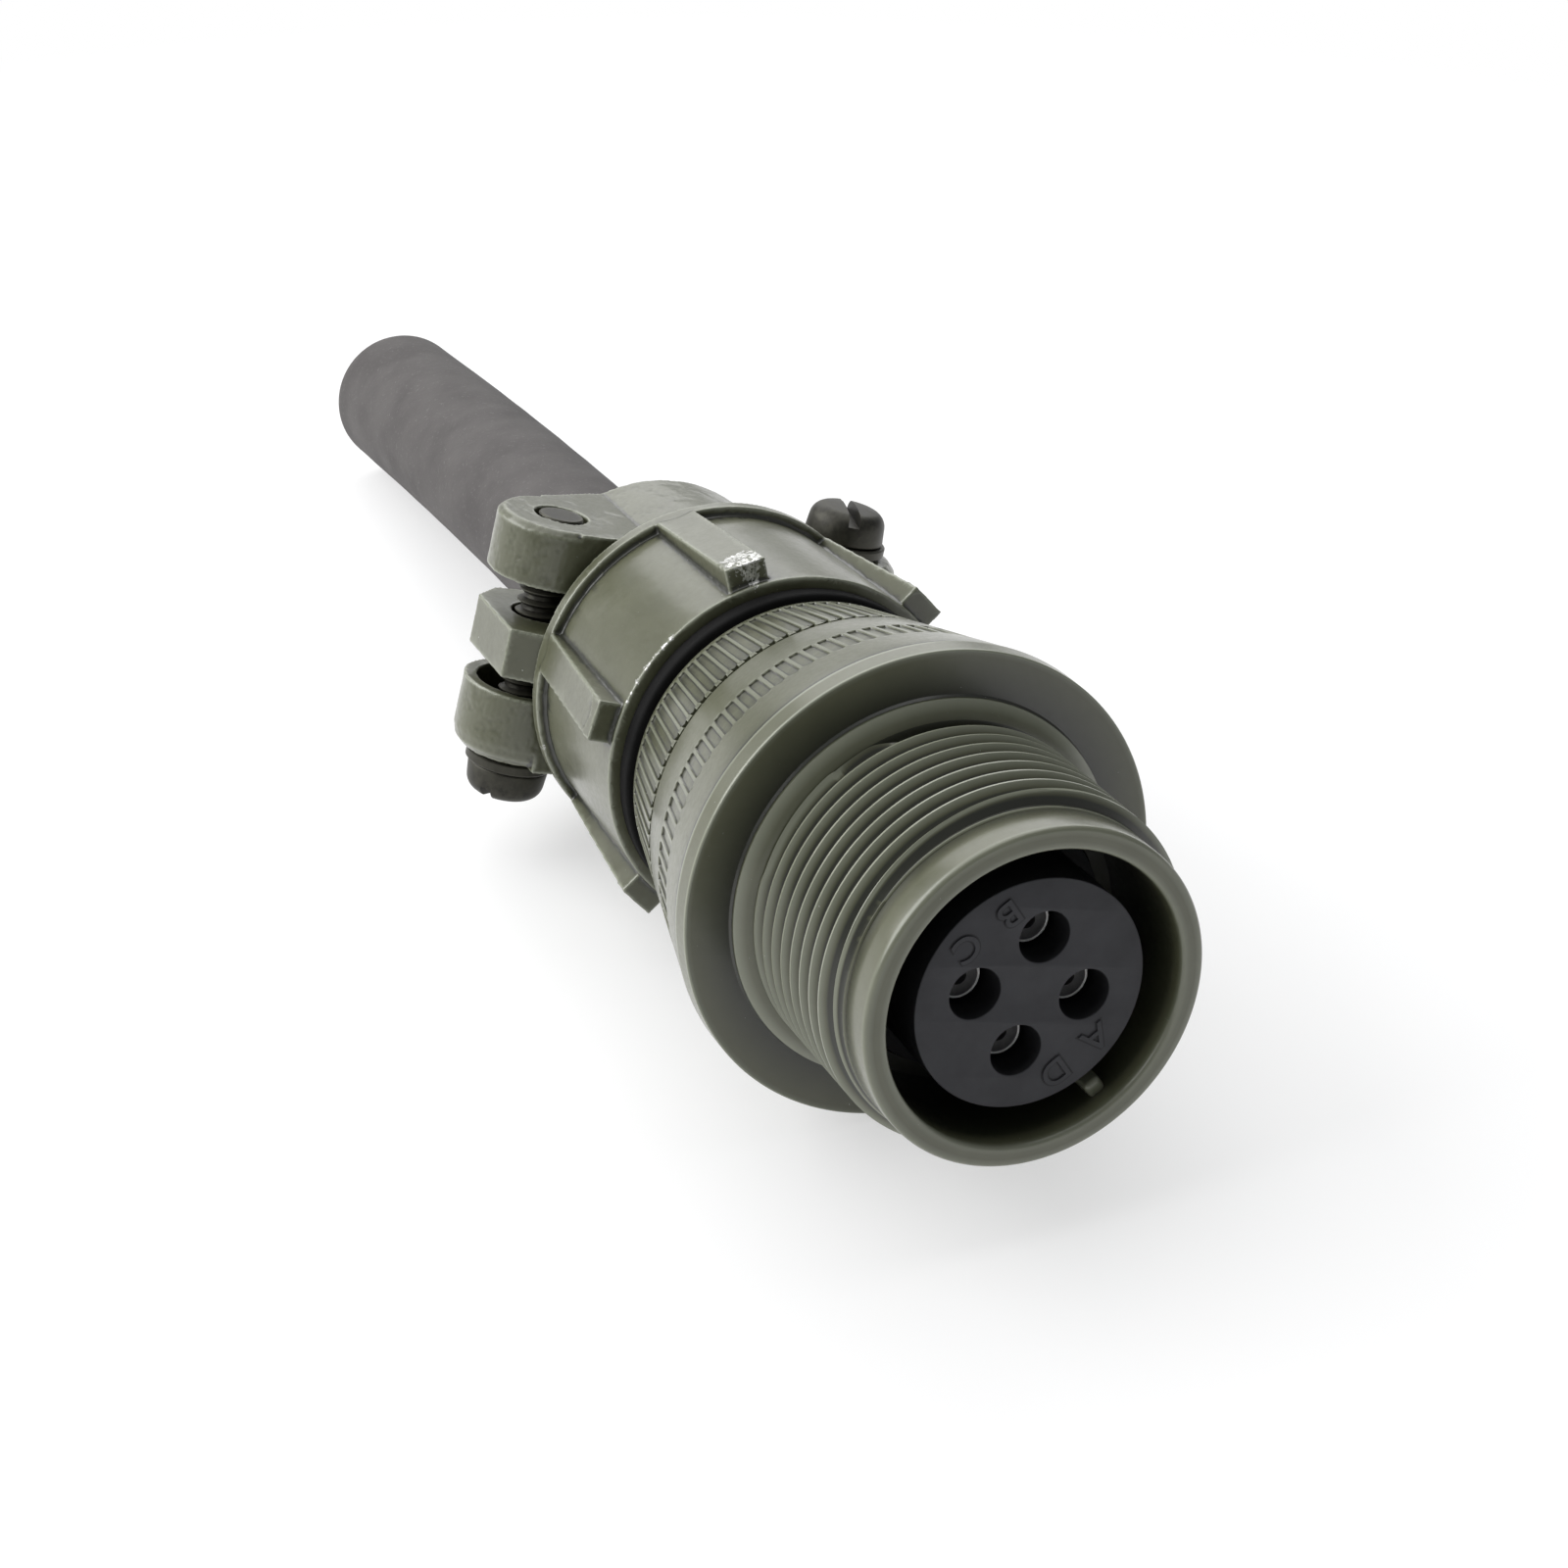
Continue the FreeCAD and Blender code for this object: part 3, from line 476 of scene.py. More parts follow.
def make_endbell():
    """Endbell, whose long windows run from the joint to its back edge."""
    front = SHELL_BACK + JOINT_GAP
    profile = rings((SPIGOT_FRONT, SPIGOT_BORE), (SPIGOT_FRONT, SPIGOT_RADIUS),
                    (front, SPIGOT_RADIUS), (front, cone(SHELL_BACK) - 1.0))
    # the windows' front ends break through the edge, which leaves a dark hole at each
    profile += [knurl_ring(front, 0.9, 0.13), knurl_ring(SHELL_BACK + 0.3, 0.8, 0.13),
                knurl_ring(SHELL_BACK + 0.42, 0.7, 0.1)]
    profile += knurl_rows(*REAR_WINDOWS, KNURL_DEPTH)[1:]
    profile += rings((ENDBELL_BACK - 0.3, cone(ENDBELL_BACK - 0.3)))
    profile += corner(ENDBELL_BACK - 0.12, cone(ENDBELL_BACK) - 0.12, 0.12, 70, 0, 3)
    profile += rings((ENDBELL_BACK, REAR_NECK_RADIUS), (REAR_NECK_BACK, REAR_NECK_RADIUS),
                     (REAR_NECK_BACK, REAR_NECK_BORE))
    bm = bmesh.new()
    add_lathe(bm, profile, knurl_angles())
    bell = finish_mesh("endbell_painted", bm, PLUG)
    weigh_bends(bell.data)
    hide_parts("endbell")
    dress(bell, "root", PAINT)


def make_sealing_ring():
    """Black rubber ring, pressed out a little between the endbell and the clamp."""
    profile = rings((ENDBELL_BACK + 0.05, SEAL_BORE), (ENDBELL_BACK + 0.05, SEAL_LIP),
                    (ENDBELL_BACK + 0.5, SEAL_LIP), (ENDBELL_BACK + 0.52, SEAL_RADIUS - 0.4))
    profile += corner(ENDBELL_BACK + 0.82, SEAL_RADIUS - 0.3, 0.28, 180, 90)
    profile += corner(CLAMP_FRONT - 0.3, SEAL_RADIUS - 0.25, 0.25, 90, 0)
    profile += rings((CLAMP_FRONT - 0.05, SEAL_BORE))
    bm = bmesh.new()
    add_lathe(bm, profile, even(192))
    seal = finish_mesh("sealing_ring_rubber", bm, PLUG)
    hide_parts("sealing_ring")
    dress(seal, "root", SEAL)


def make_cast_copy(node, name, body, turned, dents):
    """Cast copy of a CAD node: its form with every edge softened as in a painted casting.

    turned lists its cylinders and cones as in true_rounds, and dents is how deep the dents in
    its skin go.
    """
    source = frame["nodes"][node]
    copy = new_object(name, source.data.copy())
    for slot in range(len(copy.data.materials)):
        copy.data.materials[slot] = None
    weld = copy.modifiers.new("weld", "WELD")
    weld.merge_threshold = 1e-6
    remesh = copy.modifiers.new("remesh", "REMESH")
    remesh.mode = "VOXEL"
    remesh.voxel_size = CAST_GRAIN * MM
    smooth = copy.modifiers.new("smooth", "SMOOTH")
    smooth.factor = 0.5
    smooth.iterations = 1
    depsgraph = bpy.context.evaluated_depsgraph_get()
    mesh = bpy.data.meshes.new_from_object(copy.evaluated_get(depsgraph))
    copy.modifiers.clear()
    copy.data = mesh
    mesh.materials.clear()
    true_rounds(mesh, turned)
    roughen(mesh, dents)
    note_bends(mesh)
    thin = copy.modifiers.new("thin", "DECIMATE")
    thin.ratio = min(1.0, CAST_POLYGONS / len(mesh.polygons))
    thin.use_collapse_triangulate = True
    depsgraph = bpy.context.evaluated_depsgraph_get()
    copy.data = bpy.data.meshes.new_from_object(copy.evaluated_get(depsgraph))
    copy.modifiers.clear()
    copy.data.shade_smooth()
    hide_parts(node)
    dress(copy, body, PAINT)


def roughen(mesh, depth):
    """Press shallow dents of a depth into a casting's skin, never outwards."""
    ways = [vertex.vector.copy() for vertex in mesh.vertex_normals]
    for vertex, way in zip(mesh.vertices, ways):
        dent = noise.fractal(vertex.co * 700.0, 0.7, 2.0, 3)
        vertex.co -= way * (max(0.0, dent + 0.15) * depth * MM)


# Insert and contacts

def make_insert():
    """Front insert: a disc with four bores, a rounded edge and raised position letters."""
    outline = bpy.data.curves.new("front_insert_outline", "CURVE")
    outline.dimensions = "2D"
    outline.fill_mode = "BOTH"
    outline.resolution_u = 24
    outline.extrude = INSERT_DEPTH / 2 - INSERT_EDGE
    outline.bevel_depth = INSERT_EDGE
    outline.bevel_resolution = 2
    outline.offset = -INSERT_EDGE

    def add_circle(middle, radius):
        spline = outline.splines.new("BEZIER")
        spline.bezier_points.add(3)
        spline.use_cyclic_u = True
        reach = 4 / 3 * math.tan(math.pi / 8) * radius
        for number, point in enumerate(spline.bezier_points):
            turn = TAU * number / 4
            out = Vector((math.cos(turn), math.sin(turn), 0))
            along = Vector((-math.sin(turn), math.cos(turn), 0))
            point.co = middle + out * radius
            point.handle_left = point.co - along * reach
            point.handle_right = point.co + along * reach

    add_circle(Vector((0, 0, 0)), INSERT_RADIUS)
    for angle in CONTACT_ANGLES.values():
        turn = math.radians(angle)
        middle = Vector((math.sin(turn), math.cos(turn), 0)) * CONTACT_CIRCLE
        add_circle(middle, CONTACT_HOLE)
    holder = new_object("front_insert_outline", outline)
    depsgraph = bpy.context.evaluated_depsgraph_get()
    mesh = bpy.data.meshes.new_from_object(holder.evaluated_get(depsgraph))
    bpy.data.objects.remove(holder)
    # the drawing's X is the plug's left, its Y is the clamp's up and its Z points out of the face
    middle = INSERT_FACE + INSERT_DEPTH / 2
    lay = Matrix(((0, 0, -1, middle), (1, 0, 0, 0), (0, 1, 0, 0), (0, 0, 0, 1)))
    bm = bmesh.new()
    bm.from_mesh(mesh)
    bm.transform(lay)
    # behind the disc the insert widens in two steps, which the shell hides
    start = INSERT_FACE + INSERT_DEPTH - 0.1
    radius = INSERT_RADIUS - 0.05
    profile = rings((start, INSERT_CORE), (start, radius), (7.6, radius), (7.6, 7.9), (9.4, 7.9),
                    (9.4, 8.8), (INSERT_BACK, 8.8), (INSERT_BACK, INSERT_CORE))
    add_lathe(bm, profile, even(96))
    insert = finish_mesh("front_insert_moulded", bm, PLUG, 30.0)
    # the insert behind its front face, the walls of the contact holes, is marked for painted shade
    note_painted_shade(insert.data, INSERT_FACE + 0.01, 0.07, 10.0)
    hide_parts("front_insert")
    dress(insert, "root", PLASTIC)
    for letter, angle in LETTER_ANGLES.items():
        make_letter(letter, angle)


def make_letter(letter, angle):
    """Raised position letter by a bore, with its top towards the key, set in a painted shadow: a flat dark copy of
    the letter, a little wider, laid just on the face.
    """
    up = around(0, 1, KEY_ANGLE)
    out = Vector((-1, 0, 0))
    turn = Matrix((up.cross(out), up, out)).transposed().to_4x4()
    # the outline part is painted shadow: a thin dark copy of the letter, wider than it, laid on the face
    for part, swell, height, lift, material in (("raised", 0.02, 0.07, 0.02, PLASTIC),
                                                ("outline", 0.13, 0.003, 0.002, PAINTED_LETTER_SHADOW)):
        text = bpy.data.curves.new("letter_" + letter, "FONT")
        text.body = letter
        text.align_x = "CENTER"
        text.align_y = "CENTER"
        text.size = LETTER_SIZE
        text.extrude = height
        text.offset = swell
        text.resolution_u = 6
        holder = new_object("letter_" + letter, text)
        depsgraph = bpy.context.evaluated_depsgraph_get()
        mesh = bpy.data.meshes.new_from_object(holder.evaluated_get(depsgraph))
        bpy.data.objects.remove(holder)
        place = around(INSERT_FACE - lift, LETTER_CIRCLE, angle)
        mesh.transform(PLUG @ Matrix.Translation(place) @ turn)
        mesh.shade_flat()
        piece = new_object("letter_%s_%s" % (letter.lower(), part), mesh)
        dress(piece, "root", material)


def make_contact(name, angle):
    """Socket contact: a thin hood, bright on its rim with a painted highlight, round a grey socket with a dark
    bore.
    """
    profile = rings((CONTACT_FACE + 0.8, PIN_BORE), (CONTACT_FACE + 0.8, CONTACT_MOUTH),
                    (CONTACT_FACE, CONTACT_MOUTH), (CONTACT_FACE, 1.1),
                    (CONTACT_FACE - 0.06, 1.14), (CONTACT_FACE - 0.09, 1.17))
    profile += corner(CONTACT_FACE - 0.02, CONTACT_RADIUS - 0.08, 0.08, 180, 20, 6)
    profile += rings((COLLAR_FRONT, CONTACT_RADIUS), (COLLAR_FRONT, COLLAR_RADIUS),
                     (COLLAR_BACK, COLLAR_RADIUS), (COLLAR_BACK, SOLDER_CUP_RADIUS),
                     (CONTACT_BACK, SOLDER_CUP_RADIUS), (CONTACT_BACK, SOLDER_CUP_BORE),
                     (SOLDER_CUP_FRONT, SOLDER_CUP_BORE), (SOLDER_CUP_FRONT, 0.05),
                     (PIN_DEPTH, 0.05), (PIN_DEPTH, PIN_BORE))
    bm = bmesh.new()
    add_lathe(bm, profile, even(64))
    contact = finish_mesh(name + "_plated", bm,
                          PLUG @ Matrix.Translation(around(0, CONTACT_CIRCLE, angle)))
    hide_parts(name)
    dress(contact, "root", PLATING)


# Screws and washers

def stack_matrix(side):
    """Frame of a screw: Z up the left stack, and turned half round for the right one."""
    turn = Matrix.Rotation(0.0 if side == "left" else math.pi, 4, "X")
    return PLUG @ turn @ Matrix.Translation((SCREW_STATION, SCREW_OFFSET, 0))


# Stands a turned piece, whose axis is X, up along the stack
UPRIGHT = Matrix(((0, 1, 0, 0), (0, 0, 1, 0), (1, 0, 0, 0), (0, 0, 0, 1)))


def make_screw(side, body, slot_turn):
    """Slotted pan-head screw with a rolled thread; slot_turn is its slot's angle in degrees."""
    profile = rings((HEAD_FRONT, 0.02), (HEAD_FRONT + 0.02, 0.8), (HEAD_FRONT + 0.1, 1.4))
    profile += corner(HEAD_FRONT + 1.2, 1.55, 1.1, 165, 95, 6)
    profile += corner(HEAD_BACK - 0.15, HEAD_RADIUS - 0.15, 0.15, 90, 0, 3)
    profile += rings((HEAD_BACK, 1.5), (HEAD_BACK + 0.1, 1.45))
    profile += thread_rings(HEAD_BACK + 0.1, EAR_TOP - 0.1, SCREW_ROOT, SCREW_RADIUS,
                            SCREW_PITCH, 0.4, 0.3)
    profile += rings((EAR_TOP - 0.1, 1.5), (EAR_TOP, 1.42), (EAR_TOP, 0.02))
    bm = bmesh.new()
    add_lathe(bm, profile, even(64))
    blank = finish_mesh(side + "_screw_plated", bm, stack_matrix(side) @ UPRIGHT)
    # the slot's tool is longer than the head is wide, and stands out in front of it
    cutter = bmesh.new()
    bmesh.ops.create_cube(cutter, size=1.0)
    length, height = 8.0, 2.0
    reach = Matrix.Diagonal((SLOT_WIDTH, length, height, 1.0))
    middle = HEAD_FRONT + SLOT_DEPTH - height / 2
    turned = Matrix.Rotation(math.radians(slot_turn), 4, "Z")
    cutter.transform(turned @ Matrix.Translation((0, 0, middle)) @ reach)
    tool = finish_mesh(side + "_slot_tool", cutter, stack_matrix(side))
    cut = blank.modifiers.new("slot", "BOOLEAN")
    cut.object = tool
    cut.solver = "EXACT"
    depsgraph = bpy.context.evaluated_depsgraph_get()
    mesh = bpy.data.meshes.new_from_object(blank.evaluated_get(depsgraph))
    blank.modifiers.clear()
    blank.data = mesh
    mesh.materials.clear()
    bpy.data.objects.remove(tool)
    mesh.shade_smooth()
    mesh.set_sharp_from_angle(angle=math.radians(30))
    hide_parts(side + "_screw")
    dress(blank, body, SCREW)


def make_lock_washer(side, body):
    """Split spring washer, almost flat under the head, with its two ends a little apart."""
    gap = math.radians(14)
    inner, outer, thick, rise = 1.92, 3.0, 0.72, 0.1
    steps = 72
    bm = bmesh.new()
    section = ((inner + 0.06, 0.0), (outer - 0.1, 0.0), (outer, 0.1), (outer, thick - 0.1),
               (outer - 0.1, thick), (inner + 0.06, thick), (inner, thick - 0.06), (inner, 0.06))
    loops = []
    for step in range(steps + 1):
        share = step / steps
        turn = gap / 2 + (TAU - gap) * share
        base = HEAD_BACK + 0.03 + rise * share
        loops.append([bm.verts.new((radius * math.cos(turn), radius * math.sin(turn), base + up))
                      for radius, up in section])
    for first, second in zip(loops, loops[1:]):
        for here in range(len(section)):
            following = (here + 1) % len(section)
            bm.faces.new((first[here], first[following], second[following], second[here]))
    bm.faces.new(loops[0])
    bm.faces.new(loops[-1])
    washer = finish_mesh(side + "_lock_washer_sprung", bm, stack_matrix(side))
    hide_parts(side + "_lock_washer")
    dress(washer, body, SCREW)


# Rubber sleeve

def sleeve_route(steps=72):
    """Points of the sleeve's middle line and the way it runs there, in the row frame."""
    entry = find(frame["record"]["mounts"], "cable_entry")
    along = (PLUG.to_3x3() @ Vector((1, 0, 0))).normalized()
    end_way = Vector(entry["axis"]).normalized()
    turn = along.angle(end_way)
    aside = (end_way - along * along.dot(end_way)).normalized()
    bend_radius = SLEEVE_BEND * MM / turn
    total = SLEEVE_BEND_START - SLEEVE_FRONT + SLEEVE_BEND + SLEEVE_END
    start = PLUG @ Vector((SLEEVE_FRONT, 0, 0))
    bend_start = PLUG @ Vector((SLEEVE_BEND_START, 0, 0))
    found = []
    for step in range(steps + 1):
        run = total * step / steps - (SLEEVE_BEND_START - SLEEVE_FRONT)
        if run <= 0:
            found.append((start.lerp(bend_start, 1 + run / (SLEEVE_BEND_START - SLEEVE_FRONT)),
                          along.copy()))
            continue
        bent = min(run, SLEEVE_BEND) * MM / bend_radius
        way = along * math.cos(bent) + aside * math.sin(bent)
        point = bend_start + along * bend_radius * math.sin(bent)
        point += aside * bend_radius * (1 - math.cos(bent))
        point += way * max(0.0, run - SLEEVE_BEND) * MM
        found.append((point, way))
    return found


def make_sleeve():
    """Rubber sleeve as a tube with soft ends and a slightly uneven wall."""
    columns = 96
    bm = bmesh.new()
    route = sleeve_route()
    side = (PLUG.to_3x3() @ Vector((0, 1, 0))).normalized()

    def loop(point, way, radius, wobble):
        left = (side - way * side.dot(way)).normalized()
        up = left.cross(way)
        verts = []
        for column in range(columns):
            phi = TAU * column / columns
            out = left * math.sin(phi) + up * math.cos(phi)
            bump = noise.noise((point + out * radius * MM) * 160.0) * wobble
            verts.append(bm.verts.new(point + out * (radius - abs(bump)) * MM))
        return verts

    first, last = route[0], route[-1]
    loops = [loop(first[0], first[1], SLEEVE_BORE, 0), loop(first[0], first[1], SLEEVE_RADIUS, 0)]
    for point, way in route[1:-1]:
        loops.append(loop(point, way, SLEEVE_RADIUS, 0.05))
    # the soft far end: how far each loop stands before it, and the loop's radius
    for back, radius in ((0.5, 5.55), (0.2, 5.47), (0.05, 5.3), (0.0, 5.05), (0.0, 4.3),
                         (0.08, 4.08), (0.3, SLEEVE_BORE)):
        loops.append(loop(last[0] - last[1] * back * MM, last[1], radius, 0))
    for point, way in reversed(route[1:-1:4]):
        loops.append(loop(point, way, SLEEVE_BORE, 0))
    loops.append(loops[0])
    for upper, lower in zip(loops, loops[1:]):
        for column in range(columns):
            following = (column + 1) % columns
            bm.faces.new((upper[column], upper[following], lower[following], lower[column]))
    bmesh.ops.recalc_face_normals(bm, faces=bm.faces)
    mesh = bpy.data.meshes.new("cable_sleeve_rubber")
    bm.to_mesh(mesh)
    bm.free()
    mesh.shade_smooth()
    mesh.set_sharp_from_angle(angle=math.radians(40))
    sleeve = new_object("cable_sleeve_rubber", mesh)
    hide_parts("cable_sleeve")
    dress(sleeve, "root", RUBBER)


def dress(piece, body, material):
    """Give a piece its material and let it ride on a body."""
    piece.data.materials.clear()
    piece.data.materials.append(material)
    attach(piece, body)


# Materials

class Nodes:
    """Short way to write a material's nodes and links."""

    def __init__(self, name):
        self.material = bpy.data.materials.new(name)
        self.material.use_nodes = True
        self.tree = self.material.node_tree
        self.shader = self.tree.nodes["Principled BSDF"]
        self.coordinates = self.add("ShaderNodeTexCoord").outputs["Object"]
        self.bend = self.add("ShaderNodeAttribute", attribute_name="bend").outputs["Fac"]
        self.inside = self.add("ShaderNodeAttribute", attribute_name="inside").outputs["Fac"]

    def add(self, kind, **values):
        """Add a node. Values named in_X set or link the input X, others set properties."""
        node = self.tree.nodes.new(kind)
        for key, value in values.items():
            if not key.startswith("in_"):
                setattr(node, key, value)
        for key, value in values.items():
            if key.startswith("in_"):
                self.put(node.inputs[key[3:].replace("_", " ")], value)
        return node

    def put(self, socket, value):
        """Link an output to a socket, or set the socket's value."""
        if isinstance(value, bpy.types.NodeSocket):
            self.tree.links.new(value, socket)
        else:
            socket.default_value = value

    def noise(self, scale, detail=4.0, rough=0.55):
        """Noise over the object's own coordinates, scale in patches per metre."""
        node = self.add("ShaderNodeTexNoise", in_Vector=self.coordinates, in_Scale=scale,
                        in_Detail=detail, in_Roughness=rough)
        return node.outputs["Fac"]

    def ramp(self, value, *stops):
        """Colour ramp over a value: pairs of a place and a colour or grey."""
        node = self.add("ShaderNodeValToRGB", in_Fac=value)
        while len(node.color_ramp.elements) < len(stops):
            node.color_ramp.elements.new(0.5)
        for element, (place, colour) in zip(node.color_ramp.elements, stops):
            element.position = place
            if isinstance(colour, (int, float)):
                colour = (colour, colour, colour)
            element.color = (*colour, 1.0)
        return node.outputs["Color"]

    def math(self, operation, first, second, clamp=False):
        """Arithmetic on two values."""
        node = self.add("ShaderNodeMath", operation=operation, use_clamp=clamp)
        self.put(node.inputs[0], first)
        self.put(node.inputs[1], second)
        return node.outputs["Value"]

    def mix(self, factor, first, second):
        """Mix of two colours."""
        node = self.add("ShaderNodeMix", data_type="RGBA")
        self.put(node.inputs[0], factor)
        self.put(node.inputs[6], first if isinstance(first, bpy.types.NodeSocket)
                 else (*first, 1.0))
        self.put(node.inputs[7], second if isinstance(second, bpy.types.NodeSocket)
                 else (*second, 1.0))
        return node.outputs[2]

    def near(self, place, reach, soft):
        """Mask that is 1 near a point of the plug and falls to 0 over a soft edge, all in mm."""
        gap = self.add("ShaderNodeVectorMath", operation="DISTANCE", in_Vector=self.coordinates)
        gap.inputs[1].default_value = PLUG @ place
        away = self.math("SUBTRACT", (reach + soft) * MM, gap.outputs["Value"])
        return self.math("DIVIDE", away, soft * MM, clamp=True)

    def bump(self, height, distance, strength):
        """Bump from a height, with its distance in metres."""
        node = self.add("ShaderNodeBump", in_Height=height, in_Distance=distance,
                        in_Strength=strength)
        return node.outputs["Normal"]

    def set(self, **values):
        """Set or link the shader's own sockets."""
        for key, value in values.items():
            self.put(self.shader.inputs[key.replace("_", " ")], value)


def paint_material():
    """Semi-gloss olive enamel over metal, chipped where it was knocked. Convex edges are lighter, partly paint
    worn thin and partly a painted highlight, and creases, thread roots and the inside of the mouth are darkened
    with painted shade.
    """
    make = Nodes("olive_enamel")
    patches = make.noise(260.0, 3.0)
    grain = make.noise(2600.0, 5.0, 0.6)
    lumps = make.noise(750.0, 3.0, 0.5)
    flecks = make.noise(3400.0, 3.0, 0.6)
    olive = make.ramp(patches, (0.3, (0.069, 0.072, 0.040)), (0.7, (0.086, 0.089, 0.052)))
    # convex edges are painted lighter: partly worn paint, partly a painted highlight on crests and edges
    edge_wear_and_highlight = make.math("DIVIDE", make.bend, 6.0, clamp=True)
    olive = make.mix(make.math("MULTIPLY", edge_wear_and_highlight, 0.6), olive, (0.27, 0.285, 0.22))
    # concave creases and the thread's roots are painted darker: painted shade
    crease_shade = make.math("DIVIDE", make.bend, -2.5, clamp=True)
    olive = make.mix(make.math("MULTIPLY", crease_shade, 0.85), olive, (0.010, 0.011, 0.008))
    # painted shade inside the mouth: the paint turns near black there
    olive = make.mix(make.math("MULTIPLY", make.inside, 0.72), olive, (0.008, 0.008, 0.007))
    chips = 0.0
    for place, reach, soft in CHIPS:
        chips = make.math("MAXIMUM", chips, make.near(place, reach, soft))
    broken = make.math("ADD", make.math("MULTIPLY", chips, 0.3), flecks)
    bare = make.ramp(broken, (0.75, 0.0), (0.79, 1.0))
    scratches = make.ramp(grain, (0.4, (0.35, 0.35, 0.33)), (0.6, (0.75, 0.75, 0.72)))
    # the coat thins inside the mouth and takes its reflections away, as part of the painted shade there
    make.set(Base_Color=make.mix(bare, olive, scratches),
             Metallic=make.math("MULTIPLY", bare, 0.6),
             Roughness=make.ramp(grain, (0.35, 0.33), (0.7, 0.43)),
             Specular_IOR_Level=0.5, Coat_Roughness=0.2,
             Coat_Weight=make.ramp(make.inside, (0.0, 0.5), (1.0, 0.05)))
    height = make.math("ADD", make.math("MULTIPLY", grain, 0.25),
                       make.math("MULTIPLY", lumps, 0.6))
    height = make.math("ADD", height, make.math("MULTIPLY", bare, -1.5))
    make.set(Normal=make.bump(height, 0.00003, 0.6))
    return make.material


def rubber_material(name, dark, light, roughness, dust, shine):
    """Matte rubber with dust and a fine uneven skin."""
    make = Nodes(name)
    cloud = make.noise(220.0, 4.0)
    skin = make.noise(3200.0, 6.0, 0.65)
    colour = make.ramp(cloud, (0.35, dark), (0.7, light))
    colour = make.mix(make.ramp(skin, (0.58, 0.0), (0.78, dust)), colour, (0.3, 0.29, 0.29))
    make.set(Base_Color=colour, Roughness=roughness, Specular_IOR_Level=shine)
    make.set(Normal=make.bump(skin, 0.00003, 0.5))
    return make.material


def plastic_material(name, dark, light):
    """Matte charcoal moulding with a faint grain, darkened with painted shade where a vertex mark says it lies
    deep.
    """
    make = Nodes(name)
    grain = make.noise(5200.0, 4.0, 0.6)
    cloud = make.noise(400.0, 3.0)
    colour = make.ramp(cloud, (0.35, dark), (0.7, light))
    # painted shade deep in the insert's contact holes
    colour = make.mix(make.math("MULTIPLY", make.inside, 0.85), colour, (0.004, 0.004, 0.005))
    make.set(Base_Color=colour, Roughness=0.6, Specular_IOR_Level=0.35)
    make.set(Normal=make.bump(grain, 0.00001, 0.5))
    return make.material


def metal_material(name, dark, light, edge, roughness, metallic):
    """Plated metal, lighter on its convex edges: a painted highlight on the contacts' rims, and a faint rub on the
    screws.
    """
    make = Nodes(name)
    cloud = make.noise(1500.0, 6.0, 0.65)
    grain = make.noise(7000.0, 3.0)
    edge_wear_and_highlight = make.math("DIVIDE", make.bend, 9.0, clamp=True)
    colour = make.ramp(cloud, (0.35, dark), (0.7, light))
    make.set(Base_Color=make.mix(edge_wear_and_highlight, colour, edge), Metallic=metallic,
             Roughness=make.ramp(cloud, (0.3, roughness), (0.8, roughness + 0.18)))
    make.set(Normal=make.bump(grain, 0.00001, 0.6))
    return make.material


# Bare spots in the enamel: where, how far, and over what soft edge, in millimetres
CHIPS = [(around(35.9, 13.3, 24.0), 1.1, 0.8), (around(34.7, 12.6, 24.0), 0.5, 0.8),
         (around(47.6, 12.2, 118.0), 0.1, 0.7)]
CHIPS += [(around(34.6, 12.2, angle), 0.25, 0.3) for angle in range(54, 78, 2)]

PAINT = paint_material()
SEAL = rubber_material("seal_rubber_black", (0.004, 0.004, 0.004), (0.008, 0.008, 0.008), 0.75,
                       0.02, 0.12)
RUBBER = rubber_material("sleeve_rubber_dusty", (0.066, 0.061, 0.060), (0.092, 0.086, 0.084), 0.75,
                         0.3, 0.3)
PLASTIC = plastic_material("charcoal_moulding", (0.026, 0.026, 0.030), (0.036, 0.036, 0.041))
# dark moulding for the letters' painted shadow
PAINTED_LETTER_SHADOW = plastic_material("charcoal_moulding_shaded", (0.010, 0.010, 0.012),
                           (0.015, 0.015, 0.017))
# the plating's near-white edge colour is a painted highlight on the contacts' hood rims
PLATING = metal_material("contact_plating", (0.075, 0.074, 0.076), (0.11, 0.108, 0.108),
                         (0.95, 0.94, 0.91), 0.4, 0.1)
SCREW = metal_material("screw_plating", (0.015, 0.014, 0.011), (0.055, 0.053, 0.041),
                       (0.06, 0.058, 0.045), 0.38, 0.6)
SPRING = metal_material("ring_spring_steel", (0.2, 0.2, 0.19), (0.4, 0.4, 0.38),
                        (0.5, 0.5, 0.48), 0.4, 0.85)

# The pieces

make_front_shell()
make_endbell()
make_sealing_ring()
make_cast_copy("clamp_body", "clamp_body_cast", "root", CLAMP_TURNED, 0.01)
for saddle in ("upper_saddle", "lower_saddle"):
    make_cast_copy(saddle, saddle + "_cast", saddle, ARCH_TURNED, 0.04)
make_insert()
for contact_letter, contact_angle in CONTACT_ANGLES.items():
    make_contact("contact_" + contact_letter, contact_angle)
for stack_side, stack_body, stack_slot in (("left", "lower_saddle", 40.0),
                                           ("right", "upper_saddle", 105.0)):
    make_screw(stack_side, stack_side + "_screw", stack_slot)
    make_lock_washer(stack_side, stack_body)
make_sleeve()
for hidden, hidden_material in (("rear_insert", PLASTIC), ("insert_retaining_ring", SPRING)):
    frame["nodes"][hidden].data.materials.clear()
    frame["nodes"][hidden].data.materials.append(hidden_material)

# Floor, light and camera

FLOOR_SIZE = 3.0


